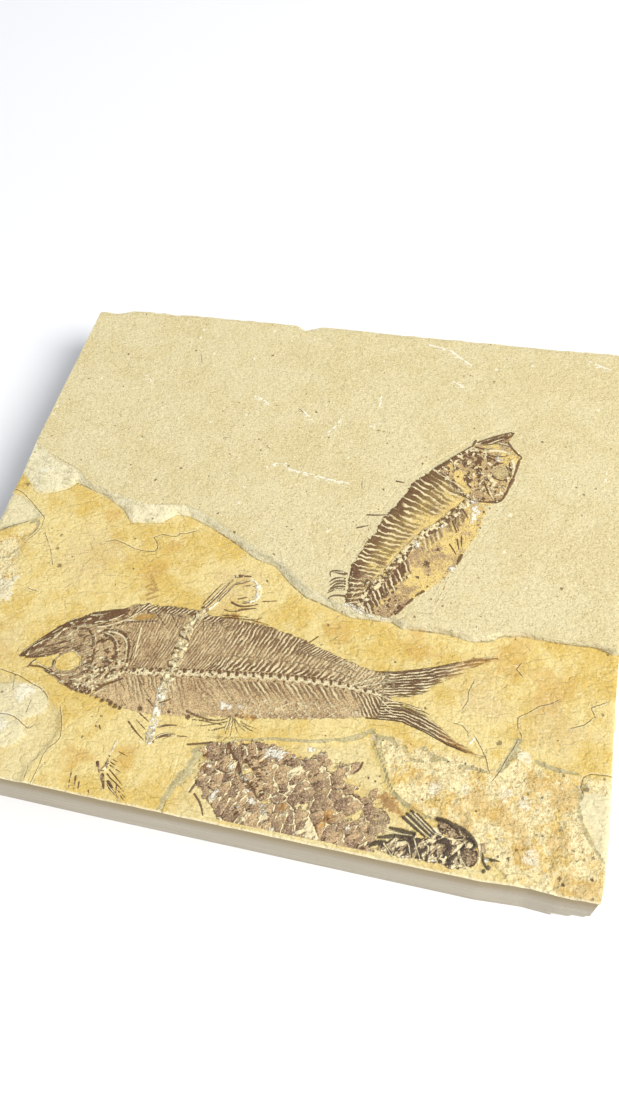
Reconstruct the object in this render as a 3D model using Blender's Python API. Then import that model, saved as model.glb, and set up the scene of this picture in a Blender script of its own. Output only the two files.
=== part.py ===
"""Fossil fish plate: a sawn slab of bedded stone, split along its layers, with fish skeletons in its face.

The slab lies on its sawn underside. The origin is the middle of the underside, X runs along the front
edge, Y runs to the back edge and Z points up. Lengths in the lists below are millimetres.
"""

import math
import random

import bmesh
import bpy
from mathutils import Matrix, Vector

MM = 0.001

# Driving dimensions of the slab, in millimetres
BED_TOP = 18.2
UPPER_BED_TOP = 19.7
ROUGH_FLOOR = 17.85
SCALY_FLOOR_BACK = 17.55
SCALY_FLOOR_FRONT = 17.95
SCAR_FLOOR = 17.8
CHIP_LIFT = 0.25
OUTSIDE = 4.0

# Fossils sit in pockets with a narrow gap all round
GAP = 0.3
BONE_DEPTH = 0.6
POCKET_DEPTH = BONE_DEPTH + GAP
CROSSING_DEPTH = 0.05

# Fused and cut shapes that share a floor step by this much, so that no two faces lie in one plane
STAGGER = 0.02

# Heights of the relief over the bed: the thin film of skin, how much the body swells inside its rim, the
# skull and the ridges on it, the backbone and its beads, the ribs, the rays and the plain fins
FILM_HEIGHT = 0.12
BODY_SWELL = 0.14
SKULL_HEIGHT = 0.18
SKULL_RIDGE = 0.34
COLUMN_HEIGHT = 0.34
BEAD_HEIGHT = 0.20
RIB_HEIGHT = 0.30
RAY_HEIGHT = 0.30
FIN_HEIGHT = 0.25
UPPER_FIN_HEIGHT = 0.20
BONE_HEIGHT = 0.45
BONE_STEP = 0.02

# The skull as shares of its length and of the body's depth: eye middle and half sizes, then the place and
# half width of the gill cover, the brow and the jaw
EYE_SHARE = (0.42, 0.42, 0.26, 0.20)
GILL_SHARE = (0.93, 0.12)
GILL_CURVE = 0.8
BROW_SHARE = (0.80, 0.16)
JAW_SHARE = (0.14, 0.14)
COLUMN_HALF_SHARE = 0.1
RIB_LEAN = 0.06

# Plan outline of the slab, from the front left corner against the clock
FRONT_EDGE = [(-75.0, -67.3), (-74.4, -67.9), (-30.0, -67.9), (-9.0, -67.8), (52.8, -67.9), (62.2, -67.3),
              (68.1, -67.6), (73.2, -67.7), (74.5, -67.2)]
RIGHT_EDGE = [(75.0, -64.8), (75.3, -55.0), (75.1, -43.0), (74.8, -35.2), (75.1, -31.9), (74.7, -29.2),
              (75.0, -10.0), (75.2, 20.0), (74.9, 48.0), (74.6, 66.2)]
BACK_EDGE = [(73.4, 67.2), (58.8, 66.9), (38.1, 67.2), (20.1, 67.4), (-0.4, 67.6), (-8.6, 67.8),
             (-13.1, 65.8), (-15.4, 67.5), (-24.9, 67.8), (-42.5, 67.8), (-49.4, 67.9), (-51.2, 67.4),
             (-56.0, 67.9), (-57.3, 67.3), (-59.1, 67.9), (-64.9, 67.8), (-66.1, 66.9), (-69.6, 66.1),
             (-72.2, 66.4)]
LEFT_EDGE = [(-73.8, 65.3), (-74.0, 36.0), (-74.1, 14.0), (-75.0, 2.0), (-75.3, -20.0), (-75.3, -50.0)]

# The broken edge of the upper bed: where it meets the lower bed, and where its flat top begins
LEDGE_FOOT = [(-80.0, 9.5), (-74.9, 8.3), (-71.6, 5.7), (-69.2, 3.4), (-67.1, 2.6), (-63.8, 3.6),
              (-60.1, 5.6), (-58.8, 7.6), (-56.0, 6.7), (-50.0, 4.8), (-44.0, 1.6), (-40.6, -2.1),
              (-36.5, -1.4), (-32.8, -0.7), (-30.0, 2.2), (-26.5, 2.1), (-20.3, -0.2), (-13.7, -3.3),
              (-7.7, -6.8), (-2.3, -8.1), (2.1, -12.0), (6.6, -14.9), (9.8, -15.7), (17.7, -18.2),
              (26.9, -17.9), (29.3, -19.0), (37.5, -18.6), (41.3, -19.0), (44.3, -19.5), (48.3, -18.7),
              (50.6, -17.1), (54.8, -16.5), (62.7, -16.6), (69.5, -16.3), (73.2, -17.3), (80.0, -17.5)]
LEDGE_CREST = [(-80.0, 19.5), (-73.5, 18.0), (-70.5, 16.2), (-67.8, 14.2), (-65.0, 13.0), (-62.0, 11.9),
               (-58.8, 10.6), (-56.6, 8.6), (-54.6, 7.4), (-48.6, 5.6), (-42.5, 4.1), (-39.1, 3.6),
               (-34.5, 3.8), (-31.0, 4.4), (-28.5, 4.6), (-24.6, 3.6), (-18.5, 0.9), (-12.1, -2.4),
               (-6.3, -5.6), (-1.0, -7.0), (3.0, -10.5), (7.2, -13.3), (10.8, -14.4), (18.0, -16.6),
               (26.5, -16.8), (29.8, -18.0), (37.5, -18.0), (41.2, -18.4), (44.5, -18.6), (47.5, -18.0),
               (50.5, -16.6), (54.3, -16.0), (62.5, -16.0), (69.5, -15.7), (73.2, -16.6), (80.0, -16.9)]

# The hollow in front that holds the scaly fish, and the rough ground to its right
TRENCH = [(-12.0, -74.0), (-11.6, -67.8), (-11.3, -65.4), (-10.3, -62.5), (-8.8, -59.7), (-7.9, -57.5),
          (-7.4, -54.4), (-4.6, -51.9), (0.7, -49.9), (4.1, -49.0), (8.2, -48.0), (15.1, -47.2),
          (22.0, -45.4), (25.0, -43.7), (27.4, -42.3)]
HOLLOW_RIGHT = [(29.2, -44.3), (28.9, -45.6), (30.6, -48.5), (31.8, -50.3), (33.2, -53.1), (34.3, -54.4),
                (37.2, -56.3), (42.1, -57.8), (47.5, -58.6), (51.9, -61.1), (57.0, -65.0), (59.1, -67.1),
                (60.0, -74.0)]
ROUGH_GROUND = [(28.5, -43.4), (33.5, -43.2), (38.5, -44.2), (44.0, -44.6), (49.4, -45.0), (53.5, -45.9),
                (55.2, -43.5), (56.3, -39.8), (57.9, -43.0), (62.8, -43.6), (66.1, -43.6), (70.6, -44.0),
                (80.0, -43.1), (80.0, -74.0), (52.0, -74.0), (55.0, -65.8), (50.0, -62.4), (45.0, -60.0),
                (40.0, -58.8), (34.5, -57.0), (31.5, -54.0), (28.6, -49.0), (27.2, -45.8)]

# Flake scars along the left edge
TRIANGLE_SCAR = [(-80.0, 3.8), (-74.1, 2.2), (-70.9, 1.2), (-67.6, -0.6), (-63.6, -3.5), (-66.7, -5.2),
                 (-69.0, -6.6), (-71.0, -7.5), (-73.6, -8.8), (-80.0, -11.2)]
CREAM_SCAR = [(-80.0, -12.4), (-73.0, -9.7), (-69.0, -7.8), (-63.8, -5.2), (-63.0, -7.2), (-64.9, -10.8),
              (-64.3, -16.0), (-63.8, -22.0), (-65.5, -27.0), (-69.0, -30.0), (-80.0, -33.0)]
KNOB_SCAR = [(-80.0, -47.0), (-66.0, -44.2), (-57.5, -44.7), (-54.0, -44.9), (-49.5, -46.1), (-45.1, -47.8),
             (-42.2, -49.6), (-39.4, -51.2), (-38.2, -54.4), (-38.3, -57.7), (-39.6, -61.0), (-41.5, -64.5),
             (-43.0, -74.0), (-80.0, -74.0)]
KNOBS = [(-50.0, -50.6, 6.4, 4.3), (-50.5, -58.4, 4.8, 3.6), (-63.0, -53.0, 7.0, 5.0)]
KNOB_RISE = 0.75

# Large fish: back and belly from the snout to the tail stalk, and its backbone
LARGE_BACK = [(-54.4, -40.2), (-51.4, -36.0), (-46.9, -31.4), (-42.1, -28.2), (-35.6, -25.4), (-30.3, -24.0),
              (-25.7, -23.0), (-21.8, -22.5), (-17.3, -22.2), (-10.0, -22.9), (-5.3, -23.0), (-0.9, -23.3),
              (4.4, -24.0), (10.0, -25.4), (17.2, -27.5), (21.1, -28.9), (27.0, -30.0), (31.5, -30.6)]
LARGE_BELLY = [(-53.9, -41.2), (-50.8, -43.0), (-45.7, -43.9), (-40.1, -45.6), (-37.2, -46.6), (-32.2, -47.4),
               (-27.2, -48.2), (-22.6, -48.5), (-18.0, -48.4), (-13.6, -48.0), (-5.2, -46.8), (1.0, -45.3),
               (7.3, -44.1), (14.2, -43.0), (20.4, -41.8), (23.6, -41.0), (28.8, -40.0), (31.5, -38.9)]
LARGE_COLUMN = 0.40
LARGE_RIBS = 28
LARGE_HEAD_SHARE = 0.29
LARGE_RAYS = 3
UPPER_LOBE = [(30.3, -30.6), (36.4, -26.6), (43.1, -24.0), (49.6, -21.9)]
UPPER_LOBE_INSIDE = [(30.3, -35.0), (35.6, -31.6), (42.0, -28.1), (49.3, -22.9)]
LOWER_LOBE_INSIDE = [(30.7, -34.4), (36.4, -35.6), (42.6, -38.9), (47.9, -42.7)]
LOWER_LOBE = [(30.7, -39.0), (35.8, -40.1), (41.0, -41.8), (47.6, -43.5)]
DORSAL_FIN = [(-12.6, -23.2), (-10.4, -21.6), (-6.5, -20.9), (-1.6, -21.0), (-0.4, -23.6), (-6.0, -24.2)]
PELVIC_FIN = [(-12.4, -47.4), (-12.0, -49.0), (-7.2, -49.2), (-3.4, -49.4), (-1.0, -48.8), (1.2, -47.6),
              (0.6, -44.8), (-6.0, -46.0)]

# Upper fish, whose tail is missing
UPPER_BACK = [(46.6, 37.4), (42.0, 35.6), (38.2, 33.6), (33.4, 28.6), (29.8, 24.7), (25.7, 20.5),
              (23.8, 16.2), (22.1, 11.7), (20.3, 7.9), (18.7, 3.2), (16.8, -0.5), (15.8, -5.5),
              (15.8, -10.4), (17.0, -15.0)]
UPPER_BELLY = [(48.4, 35.6), (49.3, 30.6), (48.6, 26.3), (47.2, 20.2), (45.6, 15.8), (43.6, 12.6),
               (42.4, 6.6), (39.9, 1.8), (38.2, -2.8), (35.6, -7.1), (32.6, -10.2), (30.3, -13.2),
               (27.6, -15.6), (24.8, -16.4)]
UPPER_COLUMN = 0.42
UPPER_RIBS = 18
UPPER_HEAD_SHARE = 0.27
ANAL_FIN = [(16.8, -14.0), (11.9, -14.7), (10.9, -11.6), (10.8, -8.3), (15.1, -7.9), (16.8, -8.8)]
PELVIC_RAYS = [(38.6, -2.6), (37.2, -5.0), (35.4, -12.4), (34.8, -12.0), (35.0, -7.4), (37.4, -3.4)]

# Scaly fish, cut off by the front face
SCALY_BACK = [(-6.4, -54.8), (-1.7, -51.6), (2.9, -50.9), (5.8, -49.8), (8.7, -50.6), (13.1, -51.2),
              (18.6, -50.3), (23.1, -50.9), (26.7, -51.3), (27.6, -54.4), (31.2, -55.6)]
SCALY_FRONT = [(-5.4, -61.6), (-3.0, -64.2), (0.4, -65.8), (3.2, -66.4), (7.0, -66.6), (12.0, -66.7),
               (16.0, -66.8), (20.0, -66.8), (24.0, -66.7), (27.4, -66.6), (30.2, -66.4)]
SCALE_LENGTH = 3.4
SCALE_WIDTH = 2.5
SCALE_TILT = 0.16
SCALE_ROOT = 0.2

# Spines, rays and skull bones to its right: root, tip and width of each blade
SPINES = [((40.6, -61.8), (33.0, -60.6), 1.0), ((40.2, -63.3), (31.8, -62.4), 1.0),
          ((39.6, -65.4), (31.9, -64.6), 0.9), ((43.0, -62.4), (36.8, -57.9), 1.0),
          ((44.4, -62.2), (39.2, -58.0), 1.0), ((47.6, -62.8), (41.6, -58.8), 1.4),
          ((50.4, -63.0), (45.2, -58.9), 1.4), ((52.4, -64.2), (48.8, -60.4), 1.2),
          ((43.6, -65.6), (38.4, -63.6), 0.9), ((46.6, -66.2), (42.2, -64.0), 0.9),
          ((53.2, -64.8), (55.8, -66.0), 1.0), ((53.4, -66.4), (52.6, -63.2), 0.9)]
SKULL_BED = [(39.6, -61.0), (42.0, -60.2), (47.0, -60.2), (51.0, -62.2), (53.6, -63.8), (55.2, -65.6),
             (53.0, -66.6), (47.0, -66.8), (41.0, -66.7), (38.2, -65.9), (38.4, -63.2)]
SKULL_DISC = (49.2, -64.0, 2.0)
SKULL_BED_TOP = BED_TOP + 0.35
SPINE_BOTTOM = BED_TOP + 0.2
SPINE_TOP = BED_TOP + 0.55
SPINE_STEP = 0.03
DISC_RISE = 0.45

# Small skeleton lying across the large fish: backbone, twin bones, skull ring and ribs
CROSSING_SPINE = [(-17.7, -54.2), (-18.6, -47.0), (-19.0, -42.5), (-19.1, -36.4), (-18.7, -31.4),
                  (-17.6, -25.7), (-15.6, -20.6)]
CROSSING_BONES = [((-15.8, -21.2), (-9.8, -12.6), 1.5), ((-14.0, -20.6), (-7.2, -12.0), 1.2)]
CROSSING_WIDTH = 2.2
CROSSING_BEADS = 14
CROSSING_RISE = 0.62
CROSSING_SKULL = (-7.2, -15.8, 4.3)
SKULL_RING_CORNERS = 14
SKULL_HOLE_SHARE = 0.55
SKULL_RING_RISE = 0.4
CROSSING_RIBS = [((-18.1, -53.2), (-23.8, -49.4), 0.6), ((-18.3, -50.6), (-23.0, -47.6), 0.6),
                 ((-18.1, -53.0), (-15.6, -51.6), 0.6), ((-15.8, -51.7), (-10.5, -51.3), 0.6),
                 ((-18.0, -50.2), (-11.7, -49.4), 0.6)]

# Faint skeleton by the front edge
SMALL_WIDTH = 0.9
SMALL_BEADS = 7
SMALL_RISE = 0.3
SMALL_BONE_HEIGHT = 0.2
SMALL_SPINE = [(-25.4, -55.4), (-25.3, -58.6), (-25.6, -61.5), (-25.4, -64.2)]
SMALL_BONES = [((-25.5, -61.8), (-27.8, -60.4), 0.9), ((-25.4, -64.2), (-26.6, -66.2), 1.1),
               ((-25.4, -63.4), (-20.0, -66.9), 0.5), ((-25.5, -61.4), (-21.2, -64.4), 0.4),
               ((-25.4, -59.8), (-21.6, -61.8), 0.4), ((-25.4, -58.2), (-22.2, -59.6), 0.4)]


def make_collection(name):
    """A new collection linked to the scene."""
    collection = bpy.data.collections.new(name)
    bpy.context.scene.collection.children.link(collection)
    return collection


def make_material(name, colour, roughness):
    """A plain Principled material."""
    material = bpy.data.materials.new(name)
    material.use_nodes = True
    shader = material.node_tree.nodes["Principled BSDF"]
    shader.inputs["Base Color"].default_value = (*colour, 1.0)
    shader.inputs["Roughness"].default_value = roughness
    shader.inputs["Metallic"].default_value = 0.0
    return material


def new_object(name, mesh, collection):
    """An object for a mesh, linked to a collection."""
    obj = bpy.data.objects.new(name, mesh)
    collection.objects.link(obj)
    return obj


def finish_mesh(bm, name, collection):
    """Weld a bmesh, turn its faces outwards and make it an object."""
    bmesh.ops.remove_doubles(bm, verts=bm.verts, dist=0.00001)
    bmesh.ops.recalc_face_normals(bm, faces=bm.faces)
    mesh = bpy.data.meshes.new(name)
    bm.to_mesh(mesh)
    bm.free()
    return new_object(name, mesh, collection)


def prism(name, outline, low, high, collection):
    """A flat outline as a 2D curve, extruded between two heights and made a mesh."""
    curve = bpy.data.curves.new(name, "CURVE")
    curve.dimensions = "2D"
    curve.fill_mode = "BOTH"
    curve.extrude = (high - low) * MM / 2.0
    spline = curve.splines.new("POLY")
    spline.points.add(len(outline) - 1)
    for point, (x, y) in zip(spline.points, outline):
        point.co = (x * MM, y * MM, 0.0, 1.0)
    spline.use_cyclic_u = True
    drawn = new_object(name, curve, collection)
    drawn.location.z = (low + high) * MM / 2.0
    bpy.context.view_layer.update()
    depsgraph = bpy.context.evaluated_depsgraph_get()
    mesh = bpy.data.meshes.new_from_object(drawn.evaluated_get(depsgraph))
    mesh.transform(drawn.matrix_world)
    bpy.data.objects.remove(drawn)
    bm = bmesh.new()
    bm.from_mesh(mesh)
    bpy.data.meshes.remove(mesh)
    return finish_mesh(bm, name, collection)


def sloped_prism(name, low_outline, high_outline, low, high, collection):
    """A face drawn on the low outline and extruded up, its upper corners moved to the high outline."""
    bm = bmesh.new()
    corners = [bm.verts.new((x * MM, y * MM, low * MM)) for x, y in low_outline]
    face = bm.faces.new(corners)
    grown = bmesh.ops.extrude_face_region(bm, geom=[face])
    raised = {item for item in grown["geom"] if isinstance(item, bmesh.types.BMVert)}
    for corner, (x, y) in zip(corners, high_outline):
        for edge in corner.link_edges:
            above = edge.other_vert(corner)
            if above in raised:
                above.co = (x * MM, y * MM, high * MM)
    return finish_mesh(bm, name, collection)


def cut(target, cutter, operation="DIFFERENCE"):
    """Apply an exact Boolean to the target and remove the tool used."""
    modifier = target.modifiers.new("Cut", "BOOLEAN")
    modifier.operation = operation
    modifier.solver = "EXACT"
    modifier.object = cutter
    bpy.context.view_layer.update()
    depsgraph = bpy.context.evaluated_depsgraph_get()
    result = bpy.data.meshes.new_from_object(target.evaluated_get(depsgraph))
    target.modifiers.clear()
    old = target.data
    target.data = result
    result.name = target.name
    bpy.data.meshes.remove(old)
    bpy.data.objects.remove(cutter)


def along(points, share):
    """The point at a share of a polyline's length."""
    lengths = [math.dist(a, b) for a, b in zip(points, points[1:])]
    rest = share * sum(lengths)
    for (a, b), length in zip(zip(points, points[1:]), lengths):
        if rest <= length or (a, b) == (points[-2], points[-1]):
            part = min(max(rest / length, 0.0), 1.0)
            return (a[0] + (b[0] - a[0]) * part, a[1] + (b[1] - a[1]) * part)
        rest -= length
    return points[-1]


def grown_outline(outline, distance):
    """The outline moved outwards: each corner goes along the mean of its two edges' outward directions."""
    area = sum(a[0] * b[1] - b[0] * a[1] for a, b in zip(outline, outline[1:] + outline[:1]))
    turn = 1.0 if area > 0.0 else -1.0
    count = len(outline)
    moved = []
    for i, point in enumerate(outline):
        before = Vector(point) - Vector(outline[i - 1])
        after = Vector(outline[(i + 1) % count]) - Vector(point)
        before.normalize()
        after.normalize()
        outward = Vector((before.y + after.y, -before.x - after.x)) * turn
        outward.normalize()
        stretch = 1.0 / max(0.6, outward.dot(Vector((after.y, -after.x)) * turn))
        shift = outward * distance * stretch
        moved.append((point[0] + shift.x, point[1] + shift.y))
    return moved


def relief(name, first, second, columns, rows, height, floor, collection):
    """A grid stretched between two polylines, lifted by a height function of its two shares, with a flat
    underside at the floor."""
    bm = bmesh.new()
    bmesh.ops.create_grid(bm, x_segments=columns, y_segments=rows, size=0.5)
    for vert in bm.verts:
        u = vert.co.x + 0.5
        v = vert.co.y + 0.5
        start = along(first, u)
        end = along(second, u)
        x = start[0] + (end[0] - start[0]) * v
        y = start[1] + (end[1] - start[1]) * v
        vert.co = (x * MM, y * MM, height(u, v, x, y) * MM)
    rim = [edge for edge in bm.edges if edge.is_boundary]
    walls = bmesh.ops.extrude_edge_only(bm, edges=rim)
    lowered = [item for item in walls["geom"] if isinstance(item, bmesh.types.BMVert)]
    for vert in lowered:
        vert.co.z = floor * MM
    underside = [edge for edge in bm.edges if edge.is_boundary]
    bmesh.ops.contextual_create(bm, geom=underside)
    return finish_mesh(bm, name, collection)


def blade(name, root, tip, width, low, high, collection):
    """A tapered bar from root to tip, its top edges drawn in."""
    direction = (Vector(tip) - Vector(root)).normalized()
    side = Vector((-direction.y, direction.x)) * width / 2.0
    root = Vector(root)
    tip = Vector(tip)
    middle = root.lerp(tip, 0.45)
    outline = [root - side * 0.7, middle - side, tip - side * 0.15, tip + side * 0.15, middle + side,
               root + side * 0.7]
    crest = [root - side * 0.3, middle - side * 0.4, tip - side * 0.08, tip + side * 0.08,
             middle + side * 0.4, root + side * 0.3]
    return sloped_prism(name, [tuple(p) for p in outline], [tuple(p) for p in crest], low, high, collection)


def join_all(target, tools):
    """Fuse several closed tools with the target, one after another."""
    for tool in tools:
        cut(target, tool, "UNION")


def mound(name, x, y, long_radius, short_radius, rise, base, collection):
    """A flattened ball whose upper half rises from the base."""
    bm = bmesh.new()
    size = Matrix.Diagonal((long_radius * MM, short_radius * MM, rise * MM, 1.0))
    place = Matrix.Translation((x * MM, y * MM, base * MM))
    bmesh.ops.create_uvsphere(bm, u_segments=14, v_segments=8, radius=1.0, matrix=place @ size)
    return finish_mesh(bm, name, collection)


def chip(name, x, y, z, size, turn, collection):
    """A small tilted box that knocks a flake off an edge."""
    bm = bmesh.new()
    place = Matrix.Translation((x * MM, y * MM, z * MM))
    spin = Matrix.Rotation(turn, 4, "Z") @ Matrix.Rotation(math.radians(45.0), 4, "X")
    shape = Matrix.Diagonal((size[0] * MM, size[1] * MM, size[2] * MM, 1.0))
    bmesh.ops.create_cube(bm, size=1.0, matrix=place @ spin @ shape)
    return finish_mesh(bm, name, collection)


def lumpy_cutter(name, outline, floor, rise, cell, seed, collection):
    """A block with an uneven underside, kept where it lies within the outline."""
    chance = random.Random(seed)
    xs = [x for x, y in outline]
    ys = [y for x, y in outline]
    width = max(xs) - min(xs)
    depth = max(ys) - min(ys)
    bm = bmesh.new()
    columns = max(2, round(width / cell))
    rows = max(2, round(depth / cell))
    bmesh.ops.create_grid(bm, x_segments=columns, y_segments=rows, size=0.5)
    for vert in bm.verts:
        x = (vert.co.x * (width + 2.0)) + (min(xs) + max(xs)) / 2.0
        y = (vert.co.y * (depth + 2.0)) + (min(ys) + max(ys)) / 2.0
        vert.co = (x * MM, y * MM, (floor + chance.uniform(-rise, rise)) * MM)
    roof = [edge for edge in bm.edges if edge.is_boundary]
    walls = bmesh.ops.extrude_edge_only(bm, edges=roof)
    for item in walls["geom"]:
        if isinstance(item, bmesh.types.BMVert):
            item.co.z = (UPPER_BED_TOP + OUTSIDE) * MM
    bmesh.ops.contextual_create(bm, geom=[edge for edge in bm.edges if edge.is_boundary])
    block = finish_mesh(bm, name, collection)
    cut(block, prism(name + "_outline", outline, floor - 2.0, UPPER_BED_TOP + OUTSIDE + 1.0, collection),
        "INTERSECT")
    return block


def make_stone(collection, tools):
    """The slab: sawn sides, two beds with a broken ledge between them, flake scars, a hollow and chips."""
    outline = FRONT_EDGE + RIGHT_EDGE + BACK_EDGE + LEFT_EDGE
    stone = prism("stone_slab", outline, 0.0, UPPER_BED_TOP, collection)

    # The upper bed is split away in front of its ledge
    front_corners = [(80.0, -80.0), (-80.0, -80.0)]
    cut(stone, sloped_prism("ledge_tool", LEDGE_FOOT + front_corners, LEDGE_CREST + front_corners, BED_TOP,
                            UPPER_BED_TOP + 0.001, tools))

    # The hollow of the scaly fish: its floor climbs to the front edge
    hollow = TRENCH + HOLLOW_RIGHT
    inset = grown_outline(hollow, -0.9)
    hollow_tool = sloped_prism("hollow_tool", inset, hollow, SCALY_FLOOR_BACK, BED_TOP + 0.4, tools)
    back_line = -44.0
    front_line = -68.0
    for vert in hollow_tool.data.vertices:
        if vert.co.z < BED_TOP * MM:
            share = min(max((back_line - vert.co.y / MM) / (back_line - front_line), 0.0), 1.0)
            vert.co.z = (SCALY_FLOOR_BACK + (SCALY_FLOOR_FRONT - SCALY_FLOOR_BACK) * share) * MM
    cut(stone, hollow_tool)

    # Rough ground and flake scars
    cut(stone, lumpy_cutter("rough_tool", ROUGH_GROUND, ROUGH_FLOOR, 0.22, 3.8, 5, tools))
    cut(stone, prism("triangle_tool", TRIANGLE_SCAR, SCAR_FLOOR, UPPER_BED_TOP + OUTSIDE, tools))
    cut(stone, lumpy_cutter("cream_tool", CREAM_SCAR, SCAR_FLOOR, 0.2, 3.5, 8, tools))
    cut(stone, prism("knob_tool", KNOB_SCAR, SCAR_FLOOR - 0.1, UPPER_BED_TOP + OUTSIDE, tools))
    base = SCAR_FLOOR - 0.2
    for i, (x, y, long_radius, short_radius) in enumerate(KNOBS):
        cut(stone, mound(f"knob_{i}", x, y, long_radius, short_radius, KNOB_RISE, base, tools), "UNION")

    # Flakes lost from the top edges and from the bottom corners in front: place, level, size and turn
    top = UPPER_BED_TOP + CHIP_LIFT
    bed = BED_TOP + CHIP_LIFT
    side = math.pi / 2.0
    chips = [((-70.0, 67.9), top, (7.0, 1.4), 0.0), ((-13.0, 66.6), top, (6.0, 1.8), 0.0),
             ((12.0, 67.6), top, (9.0, 1.0), 0.0), ((46.0, 67.3), top, (8.0, 1.1), 0.0),
             ((-74.3, 44.0), top, (9.0, 1.1), side), ((-74.3, 24.0), top, (6.0, 1.3), side),
             ((75.3, 12.0), top, (8.0, 1.2), side), ((75.2, 40.0), top, (10.0, 1.1), side),
             ((75.3, -30.0), bed, (7.0, 1.2), side), ((-33.0, -68.0), bed, (9.0, 1.1), 0.0),
             ((2.0, -68.0), bed, (12.0, 1.2), 0.0), ((66.0, -67.8), bed, (8.0, 1.3), 0.0),
             ((-75.3, -38.0), bed, (8.0, 1.3), side), ((74.0, -67.0), -CHIP_LIFT, (9.0, 4.4), side / 2.0),
             ((-66.0, -68.0), -CHIP_LIFT, (5.0, 1.6), 0.0)]
    for i, ((x, y), z, (length, width), turn) in enumerate(chips):
        cut(stone, chip(f"chip_{i}", x, y, z, (length, width, width), turn, tools))
    return stone


def ridge(distance, width):
    """A rounded ridge: one at its middle, falling to nothing at its width."""
    return max(0.0, 1.0 - abs(distance) / width)


def body_height(bed, column, ribs, head_share):
    """Height of a flattened fish: low belly and back, a beaded backbone, slanting ribs and a skull with an
    eye socket, a brow, a jaw and a curved gill cover."""
    def height(u, v, x, y):
        edge = min(v, 1.0 - v)
        low = bed + FILM_HEIGHT + BODY_SWELL * min(1.0, edge * 5.0)
        if u < head_share:
            share = u / head_share
            eye_u, eye_v, half_length, half_height = EYE_SHARE
            if math.hypot((share - eye_u) / half_length, (v - eye_v) / half_height) < 1.0:
                return low
            gill = ridge(share - GILL_SHARE[0] + GILL_CURVE * (v - 0.5) ** 2, GILL_SHARE[1])
            brow = ridge(v - BROW_SHARE[0], BROW_SHARE[1])
            jaw = ridge(v - JAW_SHARE[0], JAW_SHARE[1])
            return low + SKULL_HEIGHT + SKULL_RIDGE * max(gill, brow, jaw)
        slant = u + RIB_LEAN * abs(v - column)
        rib = 0.5 + 0.5 * math.cos(slant * ribs * math.tau)
        beads = 0.5 + 0.5 * math.cos(u * ribs * math.tau)
        spine = ridge(v - column, COLUMN_HALF_SHARE) * (COLUMN_HEIGHT + BEAD_HEIGHT * beads)
        return low + max(spine, RIB_HEIGHT * rib * min(1.0, edge * 6.0))
    return height


def ray_height(bed, rays, lift):
    """Height of a fin: rays side by side, thinning out towards the tips."""
    def height(u, v, x, y):
        ray = 0.5 + 0.5 * math.cos(v * rays * math.tau)
        return bed + FILM_HEIGHT + lift * ray * (1.0 - 0.7 * u)
    return height


def rim_of(first, second):
    """The closed outline of a relief: along the first line and back along the second."""
    return list(first) + list(reversed(second))


def sink(target, outlines, floor, top, tools):
    """Cut a pocket a gap wider than each outline."""
    for i, outline in enumerate(outlines):
        level = floor - STAGGER * (i % 6)
        cut(target, prism(f"pocket_{i}", grown_outline(outline, GAP), level, top, tools))


def make_large_fish(stone, collection, tools):
    """The big fish in the middle: body, forked tail and the remains of two fins, in one pocket."""
    floor = BED_TOP - BONE_DEPTH
    fish = relief("large_fish", LARGE_BELLY, LARGE_BACK, 84, 11,
                  body_height(BED_TOP, LARGE_COLUMN, LARGE_RIBS, LARGE_HEAD_SHARE), floor, collection)
    tail = ray_height(BED_TOP, LARGE_RAYS, RAY_HEIGHT)
    fin = BED_TOP + FIN_HEIGHT
    parts = [relief("upper_lobe", UPPER_LOBE_INSIDE, UPPER_LOBE, 7, 6, tail, floor + STAGGER, tools),
             relief("lower_lobe", LOWER_LOBE, LOWER_LOBE_INSIDE, 7, 6, tail, floor + 2.0 * STAGGER, tools),
             prism("dorsal_fin", DORSAL_FIN, floor + 3.0 * STAGGER, fin, tools),
             prism("pelvic_fin", PELVIC_FIN, floor + 4.0 * STAGGER, fin, tools)]
    join_all(fish, parts)
    outlines = [rim_of(LARGE_BELLY, LARGE_BACK), rim_of(UPPER_LOBE_INSIDE, UPPER_LOBE),
                rim_of(LOWER_LOBE, LOWER_LOBE_INSIDE), DORSAL_FIN, PELVIC_FIN]
    sink(stone, outlines, BED_TOP - POCKET_DEPTH, UPPER_BED_TOP + OUTSIDE, tools)
    return fish


def make_upper_fish(stone, collection, tools):
    """The fish on the upper bed, with two fins and no tail."""
    bed = UPPER_BED_TOP
    floor = bed - BONE_DEPTH
    fish = relief("upper_fish", UPPER_BELLY, UPPER_BACK, 54, 10,
                  body_height(bed, UPPER_COLUMN, UPPER_RIBS, UPPER_HEAD_SHARE), floor, collection)
    fin = bed + UPPER_FIN_HEIGHT
    join_all(fish, [prism("anal_fin", ANAL_FIN, floor + STAGGER, fin, tools),
                    prism("pelvic_rays", PELVIC_RAYS, floor + 2.0 * STAGGER, fin, tools)])
    sink(stone, [rim_of(UPPER_BELLY, UPPER_BACK), ANAL_FIN, PELVIC_RAYS], bed - POCKET_DEPTH, bed + OUTSIDE,
         tools)
    return fish


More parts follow.
